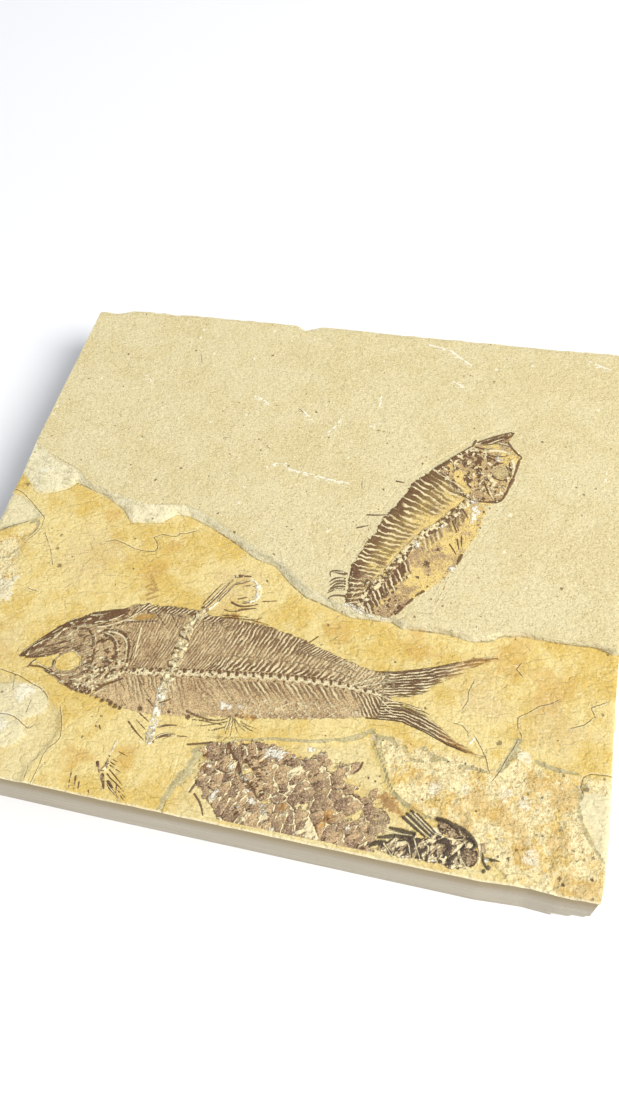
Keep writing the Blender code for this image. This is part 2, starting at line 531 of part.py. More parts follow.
def scale_height(u, v, x, y):
    """Overlapping scales: each is an oval plate tilted down towards its root, and the highest one shows."""
    best = 0.0
    row_step = SCALE_WIDTH * 0.8
    for row in range(-2, 3):
        for step in range(-2, 3):
            rank = math.floor(y / row_step) + row
            place = math.floor(x / SCALE_LENGTH) + step + 0.5 * (rank % 2)
            centre_x = place * SCALE_LENGTH
            centre_y = (rank + 0.5) * row_step
            dx = (x - centre_x) / (SCALE_LENGTH * 0.75)
            dy = (y - centre_y) / (SCALE_WIDTH * 0.6)
            if dx * dx + dy * dy < 1.0:
                best = max(best, SCALE_ROOT + SCALE_TILT * dx)
    return BED_TOP - SCALE_TILT + best


def make_scaly_fish(stone, collection, tools):
    """A patch of a larger fish with its scales, cut by the saw along the front face."""
    floor = SCALY_FLOOR_BACK - 0.3
    fish = relief("scaly_fish", SCALY_FRONT, SCALY_BACK, 34, 14, scale_height, floor, collection)
    sink(stone, [rim_of(SCALY_FRONT, SCALY_BACK)], floor - GAP, UPPER_BED_TOP + OUTSIDE, tools)
    return fish


def make_spiny_bones(stone, collection, tools):
    """Crossed spines, rays and skull bones by the front edge, with a domed disc. Only the bed of crushed
    bones between them is sunk in the stone."""
    floor = ROUGH_FLOOR - 0.5
    bones = prism("spiny_bones", SKULL_BED, floor, SKULL_BED_TOP, collection)
    for i, (root, tip, width) in enumerate(SPINES):
        bottom = SPINE_BOTTOM + STAGGER * (i % 5)
        top = SPINE_TOP + SPINE_STEP * (i % 4)
        cut(bones, blade(f"spine_{i}", root, tip, width, bottom, top, tools), "UNION")
    x, y, radius = SKULL_DISC
    base = SKULL_BED_TOP - 0.05
    cut(bones, mound("skull_disc", x, y, radius, radius * 0.8, DISC_RISE, base, tools), "UNION")
    sink(stone, [SKULL_BED], floor - GAP, UPPER_BED_TOP + OUTSIDE, tools)
    return bones


def bar_outline(root, tip, width):
    """A plain four-cornered outline round a bar."""
    root = Vector(root)
    tip = Vector(tip)
    side = (tip - root).normalized().yx * width / 2.0
    side.x = -side.x
    return [tuple(root - side), tuple(tip - side), tuple(tip + side), tuple(root + side)]


def band(points, width):
    """The outline of a band of even width along a line."""
    left = []
    right = []
    for i, point in enumerate(points):
        before = Vector(points[max(i - 1, 0)])
        after = Vector(points[min(i + 1, len(points) - 1)])
        direction = (after - before).normalized()
        side = Vector((-direction.y, direction.x)) * width / 2.0
        left.append(tuple(Vector(point) + side))
        right.append(tuple(Vector(point) - side))
    return left, right


def bead_height(bed, beads, lift):
    """Height of a backbone: a rounded band with a bead for each vertebra."""
    def height(u, v, x, y):
        bead = 0.5 + 0.5 * math.cos(u * beads * math.tau)
        return bed + lift * (0.55 + 0.45 * bead) * (1.0 if 0.2 < v < 0.8 else 0.45)
    return height


def make_crossing_skeleton(hosts, collection, tools):
    """The small skeleton pressed across the large fish. Its slot is cut in both the stone and the fish."""
    floor = BED_TOP - CROSSING_DEPTH
    left, right = band(CROSSING_SPINE, CROSSING_WIDTH)
    beads = bead_height(BED_TOP, CROSSING_BEADS, CROSSING_RISE)
    skeleton = relief("crossing_skeleton", left, right, 28, 3, beads, floor, collection)
    outlines = [rim_of(left, right)]
    for i, (root, tip, width) in enumerate(CROSSING_BONES + CROSSING_RIBS):
        low = floor + STAGGER * (i + 1)
        top = BED_TOP + BONE_HEIGHT + BONE_STEP * i
        cut(skeleton, blade(f"bone_{i}", root, tip, width, low, top, tools), "UNION")
        outlines.append(bar_outline(root, tip, width))
    x, y, radius = CROSSING_SKULL
    angles = [i * math.tau / SKULL_RING_CORNERS for i in range(SKULL_RING_CORNERS)]
    ring = [(x + radius * math.cos(angle), y + radius * math.sin(angle)) for angle in angles]
    hole = [(x + (px - x) * SKULL_HOLE_SHARE, y + (py - y) * SKULL_HOLE_SHARE) for px, py in ring]
    skull = prism("skull_ring", ring, floor + 0.5 * STAGGER, BED_TOP + SKULL_RING_RISE, tools)
    cut(skull, prism("skull_hole", hole, floor - 1.0, BED_TOP + 1.0, tools))
    cut(skeleton, skull, "UNION")
    outlines.append(ring)
    for host in hosts:
        sink(host, outlines, floor - GAP, UPPER_BED_TOP + OUTSIDE, tools)
    return skeleton


def make_small_skeleton(stone, collection, tools):
    """The faint skeleton by the front edge: a beaded backbone with a few bones."""
    floor = BED_TOP - 0.35
    left, right = band(SMALL_SPINE, SMALL_WIDTH)
    beads = bead_height(BED_TOP, SMALL_BEADS, SMALL_RISE)
    skeleton = relief("small_skeleton", left, right, 14, 2, beads, floor, collection)
    outlines = [rim_of(left, right)]
    for i, (root, tip, width) in enumerate(SMALL_BONES):
        low = floor + STAGGER * (i + 1)
        top = BED_TOP + SMALL_BONE_HEIGHT + BONE_STEP * i
        cut(skeleton, blade(f"small_bone_{i}", root, tip, width, low, top, tools), "UNION")
        outlines.append(bar_outline(root, tip, width))
    sink(stone, outlines, floor - GAP, UPPER_BED_TOP + OUTSIDE, tools)
    return skeleton


for old_object in list(bpy.data.objects):
    bpy.data.objects.remove(old_object)

plate = make_collection("fossil_fish_plate")
workshop = make_collection("workshop")

slab = make_stone(plate, workshop)
large_fish = make_large_fish(slab, plate, workshop)
upper_fish = make_upper_fish(slab, plate, workshop)
scaly_fish = make_scaly_fish(slab, plate, workshop)
spiny_bones = make_spiny_bones(slab, plate, workshop)
crossing = make_crossing_skeleton([slab, large_fish], plate, workshop)
small = make_small_skeleton(slab, plate, workshop)

stone_finish = make_material("buff_stone", (0.78, 0.66, 0.40), 0.9)
brown_bone = make_material("brown_bone", (0.30, 0.19, 0.12), 0.75)
mauve_scale = make_material("mauve_scale", (0.42, 0.30, 0.23), 0.7)
cream_bone = make_material("cream_bone", (0.72, 0.63, 0.46), 0.8)
slab.data.materials.append(stone_finish)
large_fish.data.materials.append(brown_bone)
upper_fish.data.materials.append(brown_bone)
spiny_bones.data.materials.append(brown_bone)
small.data.materials.append(brown_bone)
scaly_fish.data.materials.append(mauve_scale)
crossing.data.materials.append(cream_bone)
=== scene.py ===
import math

import bpy
import numpy as np
from mathutils import Matrix, Vector


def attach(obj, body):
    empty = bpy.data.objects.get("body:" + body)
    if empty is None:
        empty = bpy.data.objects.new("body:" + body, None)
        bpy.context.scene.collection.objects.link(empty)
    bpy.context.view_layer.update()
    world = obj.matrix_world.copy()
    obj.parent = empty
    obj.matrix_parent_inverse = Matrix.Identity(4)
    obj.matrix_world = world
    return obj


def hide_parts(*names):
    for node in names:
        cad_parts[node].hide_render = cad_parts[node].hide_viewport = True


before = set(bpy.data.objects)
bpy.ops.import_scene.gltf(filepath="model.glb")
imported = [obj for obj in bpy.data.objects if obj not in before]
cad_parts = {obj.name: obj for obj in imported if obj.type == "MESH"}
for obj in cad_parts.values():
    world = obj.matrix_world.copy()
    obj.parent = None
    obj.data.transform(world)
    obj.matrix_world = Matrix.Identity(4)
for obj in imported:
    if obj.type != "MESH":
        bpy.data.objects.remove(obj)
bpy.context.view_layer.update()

# Camera
# The photograph is taken by hand from in front and above, a little to the right of the middle, with the
# phone turned so that the slab's front edge falls away to the right.
CAMERA_PLACE = (0.05006, -0.10757, 0.1957)
CAMERA_RIGHT = (0.967, 0.230, -0.112)
CAMERA_UP = (-0.137, 0.836, 0.531)
CAMERA_BACK = (0.216, -0.498, 0.840)
CAMERA_LENS = 29.63

camera = bpy.data.objects.new("camera", bpy.data.cameras.new("camera"))
camera.data.lens = CAMERA_LENS
camera.data.clip_start = 0.005
turn = Matrix((CAMERA_RIGHT, CAMERA_UP, CAMERA_BACK)).transposed().to_4x4()
camera.matrix_world = Matrix.Translation(CAMERA_PLACE) @ turn
bpy.context.scene.collection.objects.link(camera)
bpy.context.scene.camera = camera

# Light and floor
# Soft window light from the right and above, a bright room all round, and a plain white table.
# Each soft light: its place, its width in metres, its power and its colour
SOFT_LIGHTS = [
    ((1.47, -0.45, 1.38), 0.90, 47.4, (1.0, 0.985, 0.96)),
    ((-0.10, 0.30, 0.90), 0.90, 1.6, (0.94, 0.97, 1.0)),
]
ROOM_COLOUR = (0.90, 0.94, 1.0, 1.0)
ROOM_STRENGTH = 0.42
TABLE_COLOUR = (0.90, 0.90, 0.91, 1.0)
FLOOR_REACH = 1.5

for i, (place, width, power, colour) in enumerate(SOFT_LIGHTS):
    lamp = bpy.data.lights.new(f"soft_light_{i}", "AREA")
    lamp.shape = "DISK"
    lamp.size = width
    lamp.energy = power
    lamp.color = colour
    holder = bpy.data.objects.new(f"soft_light_{i}", lamp)
    holder.location = place
    holder.rotation_euler = (-Vector(place)).to_track_quat("-Z", "Y").to_euler()
    bpy.context.scene.collection.objects.link(holder)

room = bpy.data.worlds.new("room")
room.use_nodes = True
room.node_tree.nodes["Background"].inputs["Color"].default_value = ROOM_COLOUR
room.node_tree.nodes["Background"].inputs["Strength"].default_value = ROOM_STRENGTH
bpy.context.scene.world = room
bpy.context.scene.view_settings.view_transform = "Standard"

floor_mesh = bpy.data.meshes.new("floor")
floor_corners = [(FLOOR_REACH * i, FLOOR_REACH * j, 0.0) for i, j in ((-1, -1), (1, -1), (1, 1), (-1, 1))]
floor_mesh.from_pydata(floor_corners, [], [(0, 1, 2, 3)])
floor = bpy.data.objects.new("floor", floor_mesh)
floor_paint = bpy.data.materials.new("white_table")
floor_paint.use_nodes = True
table_shader = floor_paint.node_tree.nodes["Principled BSDF"]
table_shader.inputs["Base Color"].default_value = TABLE_COLOUR
table_shader.inputs["Roughness"].default_value = 0.7
floor_mesh.materials.append(floor_paint)
bpy.context.scene.collection.objects.link(floor)

# The stone slab
# One block of bedded limestone, split by hand along its layers and sawn on its four sides and underneath.
# The upper bed has broken away in front, and a hollow, rough ground and flake scars reach deeper layers.
MM = 0.001
HALF_WIDTH = 75.0
HALF_DEPTH = 68.0
# Heights and depths over the table, in millimetres
BED = 18.2
UPPER_BED = 19.7
ROUGH_FLOOR = 17.85
HOLLOW_FLOOR = (17.55, 17.95)
HOLLOW_RUN = (-44.0, -68.0)
SCAR_FLOOR = 17.8
KNOB_RISE = 0.62
CRACK_DEPTH = 0.08
EDGE_REACH = 0.9
EDGE_DROP = 0.35
BED_HOLLOW = 1.0

FRONT_EDGE = [(-75.0, -67.6), (-30.0, -67.9), (52.8, -67.9), (62.2, -67.3), (68.1, -67.6), (75.0, -67.4)]
BACK_EDGE = [
    (-75.0, 66.3), (-72.2, 66.4), (-69.6, 66.1), (-66.1, 66.9), (-64.9, 67.8), (-59.1, 67.9),
    (-57.3, 67.3), (-56.0, 67.9), (-51.2, 67.4), (-49.4, 67.9), (-24.9, 67.8), (-15.4, 67.5),
    (-13.1, 65.8), (-8.6, 67.8), (20.1, 67.4), (58.8, 66.9), (73.4, 67.2), (75.0, 66.2),
]
LEFT_EDGE = [(-68.0, -75.2), (-20.0, -75.3), (2.0, -75.0), (14.0, -74.1), (36.0, -74.0), (65.3, -73.8)]
RIGHT_EDGE = [
    (-68.0, 74.4), (-64.8, 75.0), (-55.0, 75.3), (-43.0, 75.1), (-35.2, 74.8), (-31.9, 75.1),
    (-29.2, 74.7), (-10.0, 75.0), (20.0, 75.2), (48.0, 74.9), (66.2, 74.6),
]
LEDGE_FOOT = [
    (-80.0, 9.5), (-74.9, 8.3), (-71.6, 5.7), (-69.2, 3.4), (-67.1, 2.6), (-63.8, 3.6), (-60.1, 5.6),
    (-58.8, 7.6), (-56.0, 6.7), (-50.0, 4.8), (-44.0, 1.6), (-40.6, -2.1), (-36.5, -1.4), (-32.8, -0.7),
    (-30.0, 2.2), (-26.5, 2.1), (-20.3, -0.2), (-13.7, -3.3), (-7.7, -6.8), (-2.3, -8.1), (2.1, -12.0),
    (6.6, -14.9), (9.8, -15.7), (17.7, -18.2), (26.9, -17.9), (29.3, -19.0), (37.5, -18.6), (41.3, -19.0),
    (44.3, -19.5), (48.3, -18.7), (50.6, -17.1), (54.8, -16.5), (62.7, -16.6), (69.5, -16.3),
    (73.2, -17.3), (80.0, -17.5),
]
LEDGE_CREST = [
    (-80.0, 19.5), (-73.5, 18.0), (-70.5, 16.2), (-67.8, 14.2), (-65.0, 13.0), (-62.0, 11.9),
    (-58.8, 10.6), (-56.6, 8.6), (-54.6, 7.4), (-48.6, 5.6), (-42.5, 4.1), (-39.1, 3.6), (-34.5, 3.8),
    (-31.0, 4.4), (-28.5, 4.6), (-24.6, 3.6), (-18.5, 0.9), (-12.1, -2.4), (-6.3, -5.6), (-1.0, -7.0),
    (3.0, -10.5), (7.2, -13.3), (10.8, -14.4), (18.0, -16.6), (26.5, -16.8), (29.8, -18.0), (37.5, -18.0),
    (41.2, -18.4), (44.5, -18.6), (47.5, -18.0), (50.5, -16.6), (54.3, -16.0), (62.5, -16.0),
    (69.5, -15.7), (73.2, -16.6), (80.0, -16.9),
]
HOLLOW = [
    (-12.0, -74.0), (-11.6, -67.8), (-11.3, -65.4), (-10.3, -62.5), (-8.8, -59.7), (-7.9, -57.5),
    (-7.4, -54.4), (-4.6, -51.9), (0.7, -49.9), (4.1, -49.0), (8.2, -48.0), (15.1, -47.2), (22.0, -45.4),
    (25.0, -43.7), (27.4, -42.3), (29.2, -44.3), (28.9, -45.6), (30.6, -48.5), (31.8, -50.3),
    (33.2, -53.1), (34.3, -54.4), (37.2, -56.3), (42.1, -57.8), (47.5, -58.6), (51.9, -61.1),
    (57.0, -65.0), (59.1, -67.1), (60.0, -74.0),
]
ROUGH_GROUND = [
    (28.5, -43.4), (33.5, -43.2), (38.5, -44.2), (44.0, -44.6), (49.4, -45.0), (53.5, -45.9),
    (55.2, -43.5), (56.3, -39.8), (57.9, -43.0), (62.8, -43.6), (66.1, -43.6), (70.6, -44.0),
    (80.0, -43.1), (80.0, -74.0), (58.0, -74.0), (57.0, -66.0), (50.0, -61.5), (45.0, -59.0),
    (40.0, -57.8), (34.5, -55.4), (31.5, -51.0), (28.6, -46.6), (27.2, -44.8),
]
TRIANGLE_SCAR = [
    (-80.0, 3.8), (-74.1, 2.2), (-70.9, 1.2), (-67.6, -0.6), (-63.6, -3.5), (-66.7, -5.2), (-69.0, -6.6),
    (-71.0, -7.5), (-73.6, -8.8), (-80.0, -11.2),
]
CREAM_SCAR = [
    (-80.0, -12.4), (-73.0, -9.7), (-69.0, -7.8), (-63.8, -5.2), (-63.0, -7.2), (-64.9, -10.8),
    (-64.3, -16.0), (-63.8, -22.0), (-65.5, -27.0), (-69.0, -30.0), (-80.0, -33.0),
]
KNOB_SCAR = [
    (-80.0, -47.0), (-66.0, -44.2), (-57.5, -44.7), (-54.0, -44.9), (-49.5, -46.1), (-45.1, -47.8),
    (-42.2, -49.6), (-39.4, -51.2), (-38.2, -54.4), (-38.3, -57.7), (-39.6, -61.0), (-41.5, -64.5),
    (-43.0, -74.0), (-80.0, -74.0),
]
# Low knobs of the scar: the middle and both radii of each
KNOBS = [(-50.0, -50.6, 6.4, 4.3), (-50.5, -58.4, 4.8, 3.6), (-63.0, -53.0, 7.0, 5.0)]
SMOOTH_PATCH = [
    (68.4, -48.0), (72.0, -47.0), (80.0, -46.5), (80.0, -62.5), (74.4, -60.5), (71.6, -55.4),
    (70.0, -52.2),
]
# The hollow each fossil lies in: the turn of its frame, and its near and far line in that frame
LARGE_FISH_BED = (0.0, [
    (-55.8, -42.5), (-53.5, -44.5), (-46.0, -46.5), (-41.0, -48.5), (-34.0, -49.6), (-20.0, -50.4),
    (-12.0, -51.0), (-3.0, -52.0), (3.0, -50.8), (6.5, -47.5), (20.0, -43.8), (29.0, -42.0),
    (38.0, -43.6), (47.0, -45.8), (50.9, -46.0),
], [
    (-55.8, -38.5), (-54.0, -34.5), (-50.0, -29.5), (-45.0, -26.0), (-38.0, -23.0), (-30.0, -20.8),
    (-20.0, -20.4), (-8.0, -20.4), (6.0, -21.6), (13.0, -20.0), (18.5, -20.0), (21.0, -26.0),
    (28.0, -27.8), (36.0, -25.8), (45.0, -21.8), (50.9, -20.2),
])
UPPER_FISH_BED = (math.radians(60.0), [
    (-7.8, -22.5), (-6.2, -27.5), (-3.5, -32.6), (2.0, -34.4), (5.0, -38.2), (14.0, -36.8), (22.0, -35.6),
    (30.0, -34.0), (38.0, -33.2), (46.0, -31.2), (51.5, -29.2), (55.0, -25.5), (57.3, -23.4),
], [
    (-7.8, -16.0), (-5.0, -13.8), (-1.5, -12.0), (1.0, -13.0), (6.0, -12.8), (10.4, -11.6), (10.8, -9.2),
    (16.5, -9.2), (18.5, -11.2), (26.5, -9.8), (27.0, -7.6), (28.6, -7.6), (29.2, -10.2), (34.0, -11.4),
    (40.0, -12.8), (46.0, -14.2), (49.0, -14.6), (52.0, -16.4), (57.3, -19.5),
])
SCALY_FISH_BED = (0.0, [
    (-11.0, -67.2), (30.9, -67.2),
], [
    (-11.0, -51.6), (-6.0, -49.6), (0.0, -48.8), (8.0, -47.8), (19.0, -46.6), (28.0, -48.6),
    (30.9, -50.0),
])
SPINY_BONES_BED = (0.0, [
    (30.95, -67.2), (57.4, -67.2),
], [
    (30.95, -53.6), (36.0, -54.8), (42.0, -56.0), (48.0, -57.4), (53.0, -59.6), (57.4, -62.2),
])
FOSSIL_BEDS = [LARGE_FISH_BED, UPPER_FISH_BED, SCALY_FISH_BED, SPINY_BONES_BED]
# Where the beds of the scales and of the spiny bones meet
SEAM_X = 30.92


def ease(share):
    """The weight t*t*(3 - 2t) of a share kept between 0 and 1."""
    t = np.clip(share, 0.0, 1.0)
    return t * t * (3.0 - 2.0 * t)


def clamp(value):
    """The value kept between 0 and 1."""
    return np.clip(value, 0.0, 1.0)


def blend(first, second, share):
    """The first where the share is zero, the second where it is one."""
    return first + (second - first) * share


def highest(*covers):
    """The highest of several covers at each point."""
    return np.maximum.reduce(covers)


def dome(reach):
    """Height of a round back: one in its middle, zero where the reach is one."""
    return np.sqrt(clamp(1.0 - reach ** 2))


def turned(x, y, angle):
    """Coordinates in a frame that is turned against the clock by an angle."""
    return x * math.cos(angle) + y * math.sin(angle), y * math.cos(angle) - x * math.sin(angle)


def line_at(points, across):
    """Height of a polyline over its first coordinate."""
    first, second = np.array(points).T
    return np.interp(across, first, second)


def lattice(x, y, cell, seed):
    """Smooth noise from 0 to 1: random values at the corners of square cells, blended across each cell."""
    table = np.random.default_rng(seed).random((128, 128))
    u = x / cell
    v = y / cell
    column = np.floor(u).astype(int)
    row = np.floor(v).astype(int)
    a = ease(u - column)
    b = ease(v - row)
    near = table[row % 128, column % 128] * (1.0 - a) + table[row % 128, (column + 1) % 128] * a
    far = table[(row + 1) % 128, column % 128] * (1.0 - a) + table[(row + 1) % 128, (column + 1) % 128] * a
    return near * (1.0 - b) + far * b


def layered(x, y, cell, seed, layers=4):
    """Noise of about -1 to 1: lattice noise added up, each layer with half the cell and half the height."""
    total = np.zeros_like(x)
    for i in range(layers):
        total += (lattice(x, y, cell / 2.0 ** i, seed + i) * 2.0 - 1.0) / 2.0 ** i
    return total


def line_distance(x, y, points):
    """Distance to a polyline, signed by the side on which the nearest stretch lies, and the share of the
    way along it: every point is dropped on each stretch, kept between its ends, and the nearest counts."""
    corners = np.array(points, float)
    steps = np.linalg.norm(np.diff(corners, axis=0), axis=1)
    starts = np.concatenate([[0.0], np.cumsum(steps)])
    best = np.full(x.shape, 1e9)
    side = np.ones(x.shape)
    along = np.zeros(x.shape)
    for i, ((ax, ay), (bx, by)) in enumerate(zip(corners[:-1], corners[1:])):
        dx = bx - ax
        dy = by - ay
        share = clamp(((x - ax) * dx + (y - ay) * dy) / (dx * dx + dy * dy))
        away = np.hypot(x - ax - share * dx, y - ay - share * dy)
        closer = away < best
        turn = np.where(dx * (y - ay) - dy * (x - ax) < 0.0, -1.0, 1.0)
        best = np.where(closer, away, best)
        side = np.where(closer, turn, side)
        along = np.where(closer, (starts[i] + share * steps[i]) / starts[-1], along)
    return best, side, along


def inside(x, y, outline):
    """Distance to a closed outline, positive inside it. A point is inside when a line from it to the right
    crosses the outline an odd number of times."""
    closed = list(outline) + [outline[0]]
    distance = line_distance(x, y, closed)[0]
    odd = np.zeros(x.shape, bool)
    for (ax, ay), (bx, by) in zip(closed[:-1], closed[1:]):
        if ay != by:
            crosses = (ay > y) != (by > y)
            odd ^= crosses & (x < (bx - ax) * (y - ay) / (by - ay) + ax)
    return np.where(odd, distance, -distance)


def cover_of(x, y, outline, soft, ragged=0.0):
    """Cover of an outline's inside: eased over a soft width, the edge moved outwards by ragged noise."""
    return ease((inside(x, y, outline) + ragged) / soft)


def grit(x, y, cell, seed, bare):
    """Cover of crumbs about a cell wide, fewer of them where more is left bare."""
    return ease(lattice(x, y, cell, seed) * 3.0 - bare)


def smoothed(points):
    """The corners of a path rounded by cutting each one twice."""
    path = np.array(points, float)
    for _ in range(2):
        cut = np.empty((2 * len(path) - 2, path.shape[1]))
        cut[0::2] = path[:-1] * 0.75 + path[1:] * 0.25
        cut[1::2] = path[:-1] * 0.25 + path[1:] * 0.75
        path = np.concatenate([path[:1], cut, path[-1:]])
    return path


def near_path(x, y, path, reach):
    """True at the points within reach of the rectangle round a path."""
    low, high = np.min(path, axis=0), np.max(path, axis=0)
    near = (x > low[0] - reach) & (x < high[0] + reach)
    return near & (y > low[1] - reach) & (y < high[1] + reach)


def strokes(x, y, drawing):
    """Cover of drawn lines: one on a line, a half at half its width from it, zero at its whole width, and
    thinner towards its end."""
    cover = np.zeros_like(x)
    for half_width, lines in drawing.items():
        for line in lines:
            path = smoothed(line)
            near = near_path(x, y, path, 3.0 * half_width)
            distance, _, along = line_distance(x[near], y[near], path)
            width = 2.0 * half_width * (1.0 - 0.55 * clamp(along * 2.0 - 1.0))
            cover[near] = np.maximum(cover[near], clamp(1.0 - distance / width))
    return cover


def spots(x, y, places):
    """Round spots: one in the middle, a half at the radius."""
    cover = np.zeros_like(x)
    for spot_x, spot_y, radius in places:
        cover = np.maximum(cover, clamp(1.0 - 0.5 * np.hypot(x - spot_x, y - spot_y) / radius))
    return cover


# Cracks and the edges of flakes and of the ledge, drawn dark as cracks and painted shade, and white scratches
CRACKS = [
    [(46.2, -28.3), (45.4, -30.8), (45.6, -32.8), (44.7, -34.8)],
    [(43.5, -38.2), (45.2, -38.4), (46.4, -39.5), (46.7, -40.5)],
    [(48.2, -40.5), (49.6, -42.4), (50.9, -44.6), (51.5, -46.5)],
    [(63.5, -29.4), (61.7, -30.6), (60.0, -31.3), (57.6, -33.4), (55.9, -34.6), (56.2, -36.8),
     (57.1, -38.4)],
    [(72.8, -28.2), (70.0, -29.8), (70.9, -31.6), (68.9, -33.8), (66.5, -34.9)],
    [(55.2, -22.6), (54.4, -24.0), (55.6, -25.1)],
    [(56.4, -39.6), (55.7, -41.6), (54.7, -43.7), (53.9, -46.2), (52.6, -48.5)],
    [(69.9, -47.7), (69.3, -46.5), (69.6, -44.6), (71.0, -43.6), (75.0, -43.3)],
    [(-75.3, 3.6), (-72.3, 2.7), (-68.8, 0.4), (-65.1, -2.5), (-63.4, -3.7), (-63.1, -6.6), (-63.8, -8.7),
     (-65.3, -10.9)],
    [(-73.4, -9.1), (-70.6, -7.1), (-67.1, -5.4)],
    [(-44.9, -7.8), (-42.8, -7.1), (-40.2, -7.8), (-37.6, -8.7), (-35.2, -9.0), (-32.3, -8.8),
     (-31.8, -7.8), (-32.7, -6.0), (-33.9, -4.9), (-31.7, -3.7), (-29.9, -3.9), (-28.2, -3.8),
     (-27.9, -2.9), (-26.3, -2.6), (-23.8, -1.4)],
    [(-61.1, -8.6), (-58.4, -12.1), (-56.1, -16.2)], [(-59.2, -23.7), (-57.1, -23.9)],
    [(-57.1, -44.5), (-54.6, -44.9), (-52.4, -45.2), (-50.7, -45.8), (-48.3, -46.6), (-46.6, -47.0),
     (-44.9, -48.0), (-44.0, -48.8)],
    [(-60.0, -53.8), (-53.2, -54.3), (-51.7, -54.2), (-49.9, -54.4), (-48.2, -55.1), (-46.9, -55.8),
     (-45.7, -56.4), (-44.9, -55.6)],
    [(-40.2, -50.6), (-38.8, -53.2), (-38.0, -55.4), (-37.6, -56.9), (-38.2, -58.4), (-39.2, -59.5),
     (-39.9, -61.3), (-39.8, -63.7), (-40.3, -68.0)],
    [(-53.6, -45.9), (-52.6, -48.5)], [(-47.4, -50.5), (-47.4, -52.9)], [(-42.1, -64.6), (-42.0, -66.6)],
    [(-24.7, 26.1), (-23.7, 26.5)], [(-13.0, 25.1), (-12.2, 24.6)], [(-7.5, 38.1), (-6.5, 37.3)],
    [(12.9, 18.0), (13.2, 16.1)], [(-39.2, 53.3), (-38.2, 50.8)], [(27.4, 22.6), (28.4, 21.4)],
]
SCRATCHES = [
    [(-11.4, 19.0), (-8.4, 20.4), (-6.5, 20.4)],
    [(-5.5, 19.0), (-4.9, 18.7), (-1.2, 18.4), (2.5, 17.7), (5.6, 17.2), (9.9, 16.8)],
    [(-20.1, 40.6), (-18.3, 40.1), (-16.3, 38.8)], [(-6.3, 37.3), (-3.7, 35.3)],
    [(1.4, 31.6), (3.3, 34.6), (3.4, 36.3)], [(11.4, 35.1), (13.3, 36.1)], [(12.6, 42.2), (12.3, 44.9)],
    [(21.7, 64.4), (27.2, 63.3), (33.1, 58.7)], [(62.8, 63.5), (67.8, 61.3)],
    [(-15.0, 68.7), (-9.7, 67.8)], [(-69.5, 9.1), (-66.8, 10.8)], [(47.9, -40.9), (47.4, -41.8)],
    [(30.0, 52.0), (33.0, 51.0)], [(-52.0, 44.0), (-50.5, 42.5)], [(44.0, 34.0), (46.5, 33.2)],
]
# How far from a crack's middle its distance is kept
LINE_REACH = 0.9
# Stains, white patches and dull ground: the middle and the radius of each
ORANGE_SPOTS = [
    (-30.9, -14.5, 3.2), (-28.3, -7.2, 2.0), (38.1, -50.2, 1.8), (40.8, -50.7, 1.4), (49.8, -52.2, 2.2),
    (61.6, -47.2, 2.4), (66.2, -49.3, 2.6), (45.8, -55.4, 1.8), (54.3, -54.6, 2.4), (57.2, -56.6, 2.2),
    (58.7, -60.7, 3.2), (66.0, -57.3, 2.2), (39.1, -57.7, 1.6), (49.0, -57.6, 1.6), (72.3, -65.4, 3.0),
    (68.2, -65.7, 2.4), (51.4, -63.5, 1.5), (-22.0, -58.0, 3.5), (-33.0, -60.0, 3.5), (62.0, -26.0, 5.0),
    (33.0, -23.5, 4.0), (53.0, -21.5, 4.5), (16.0, -22.0, 3.0), (-46.0, 0.0, 3.0),
]
WHITE_SPOTS = [
    (56.1, -50.6, 1.6), (59.0, -51.9, 1.8), (58.6, -42.4, 1.6), (47.7, -51.0, 1.4), (41.5, -52.9, 1.6),
    (-50.0, -48.6, 3.0), (-66.0, -24.0, 4.5), (-71.0, -28.0, 3.0), (-51.5, -57.0, 2.6),
    (28.0, -44.5, 1.0), (43.5, -61.5, 1.2), (61.5, -61.5, 1.6),
]
DULL_SPOTS = [
    (-48.0, -12.0, 7.0), (48.0, -31.0, 5.0), (63.0, -36.0, 6.0), (-10.0, -15.0, 6.0), (-60.0, -38.0, 5.0),
]
# Painted shade at the low scarps of the rough ground and in its dark holes: half a width in millimetres, and
# the corners
SCARP_SHADOWS = {
    1.1: [[(-7.5, -53.9), (-7.3, -56.2), (-8.3, -59.4), (-9.7, -61.6), (-11.0, -64.3), (-11.6, -67.6)]],
    0.9: [
        [(56.6, -39.8), (55.9, -42.2), (54.6, -44.8), (53.2, -46.8)],
        [(69.2, -48.6), (69.0, -46.9), (70.3, -45.8)],
    ],
    0.5: [
        [(46.0, -47.0), (48.5, -46.6), (51.5, -47.2)], [(40.2, -46.6), (43.2, -46.0)],
        [(28.6, -43.9), (29.4, -45.4), (29.8, -46.9), (31.7, -49.5)],
        [(29.4, -43.8), (31.9, -44.1), (33.3, -45.7)],
        [(34.3, -44.9), (35.2, -46.6), (36.6, -47.4), (38.7, -47.3)],
        [(38.2, -44.7), (40.6, -45.9), (42.5, -46.3)], [(34.0, -55.0), (36.8, -56.6), (41.0, -58.4)],
        [(69.0, -49.6), (69.9, -53.4), (71.6, -56.6), (74.6, -60.0)],
        [(60.5, -43.2), (64.0, -44.0), (68.4, -44.2)], [(-75.0, -9.6), (-71.0, -7.4), (-67.4, -5.6)],
        [(-67.0, -13.4), (-68.2, -15.8), (-70.4, -16.6)],
        [(-66.6, -6.0), (-64.6, -4.0), (-64.2, -7.6), (-66.0, -10.6)],
    ],
}
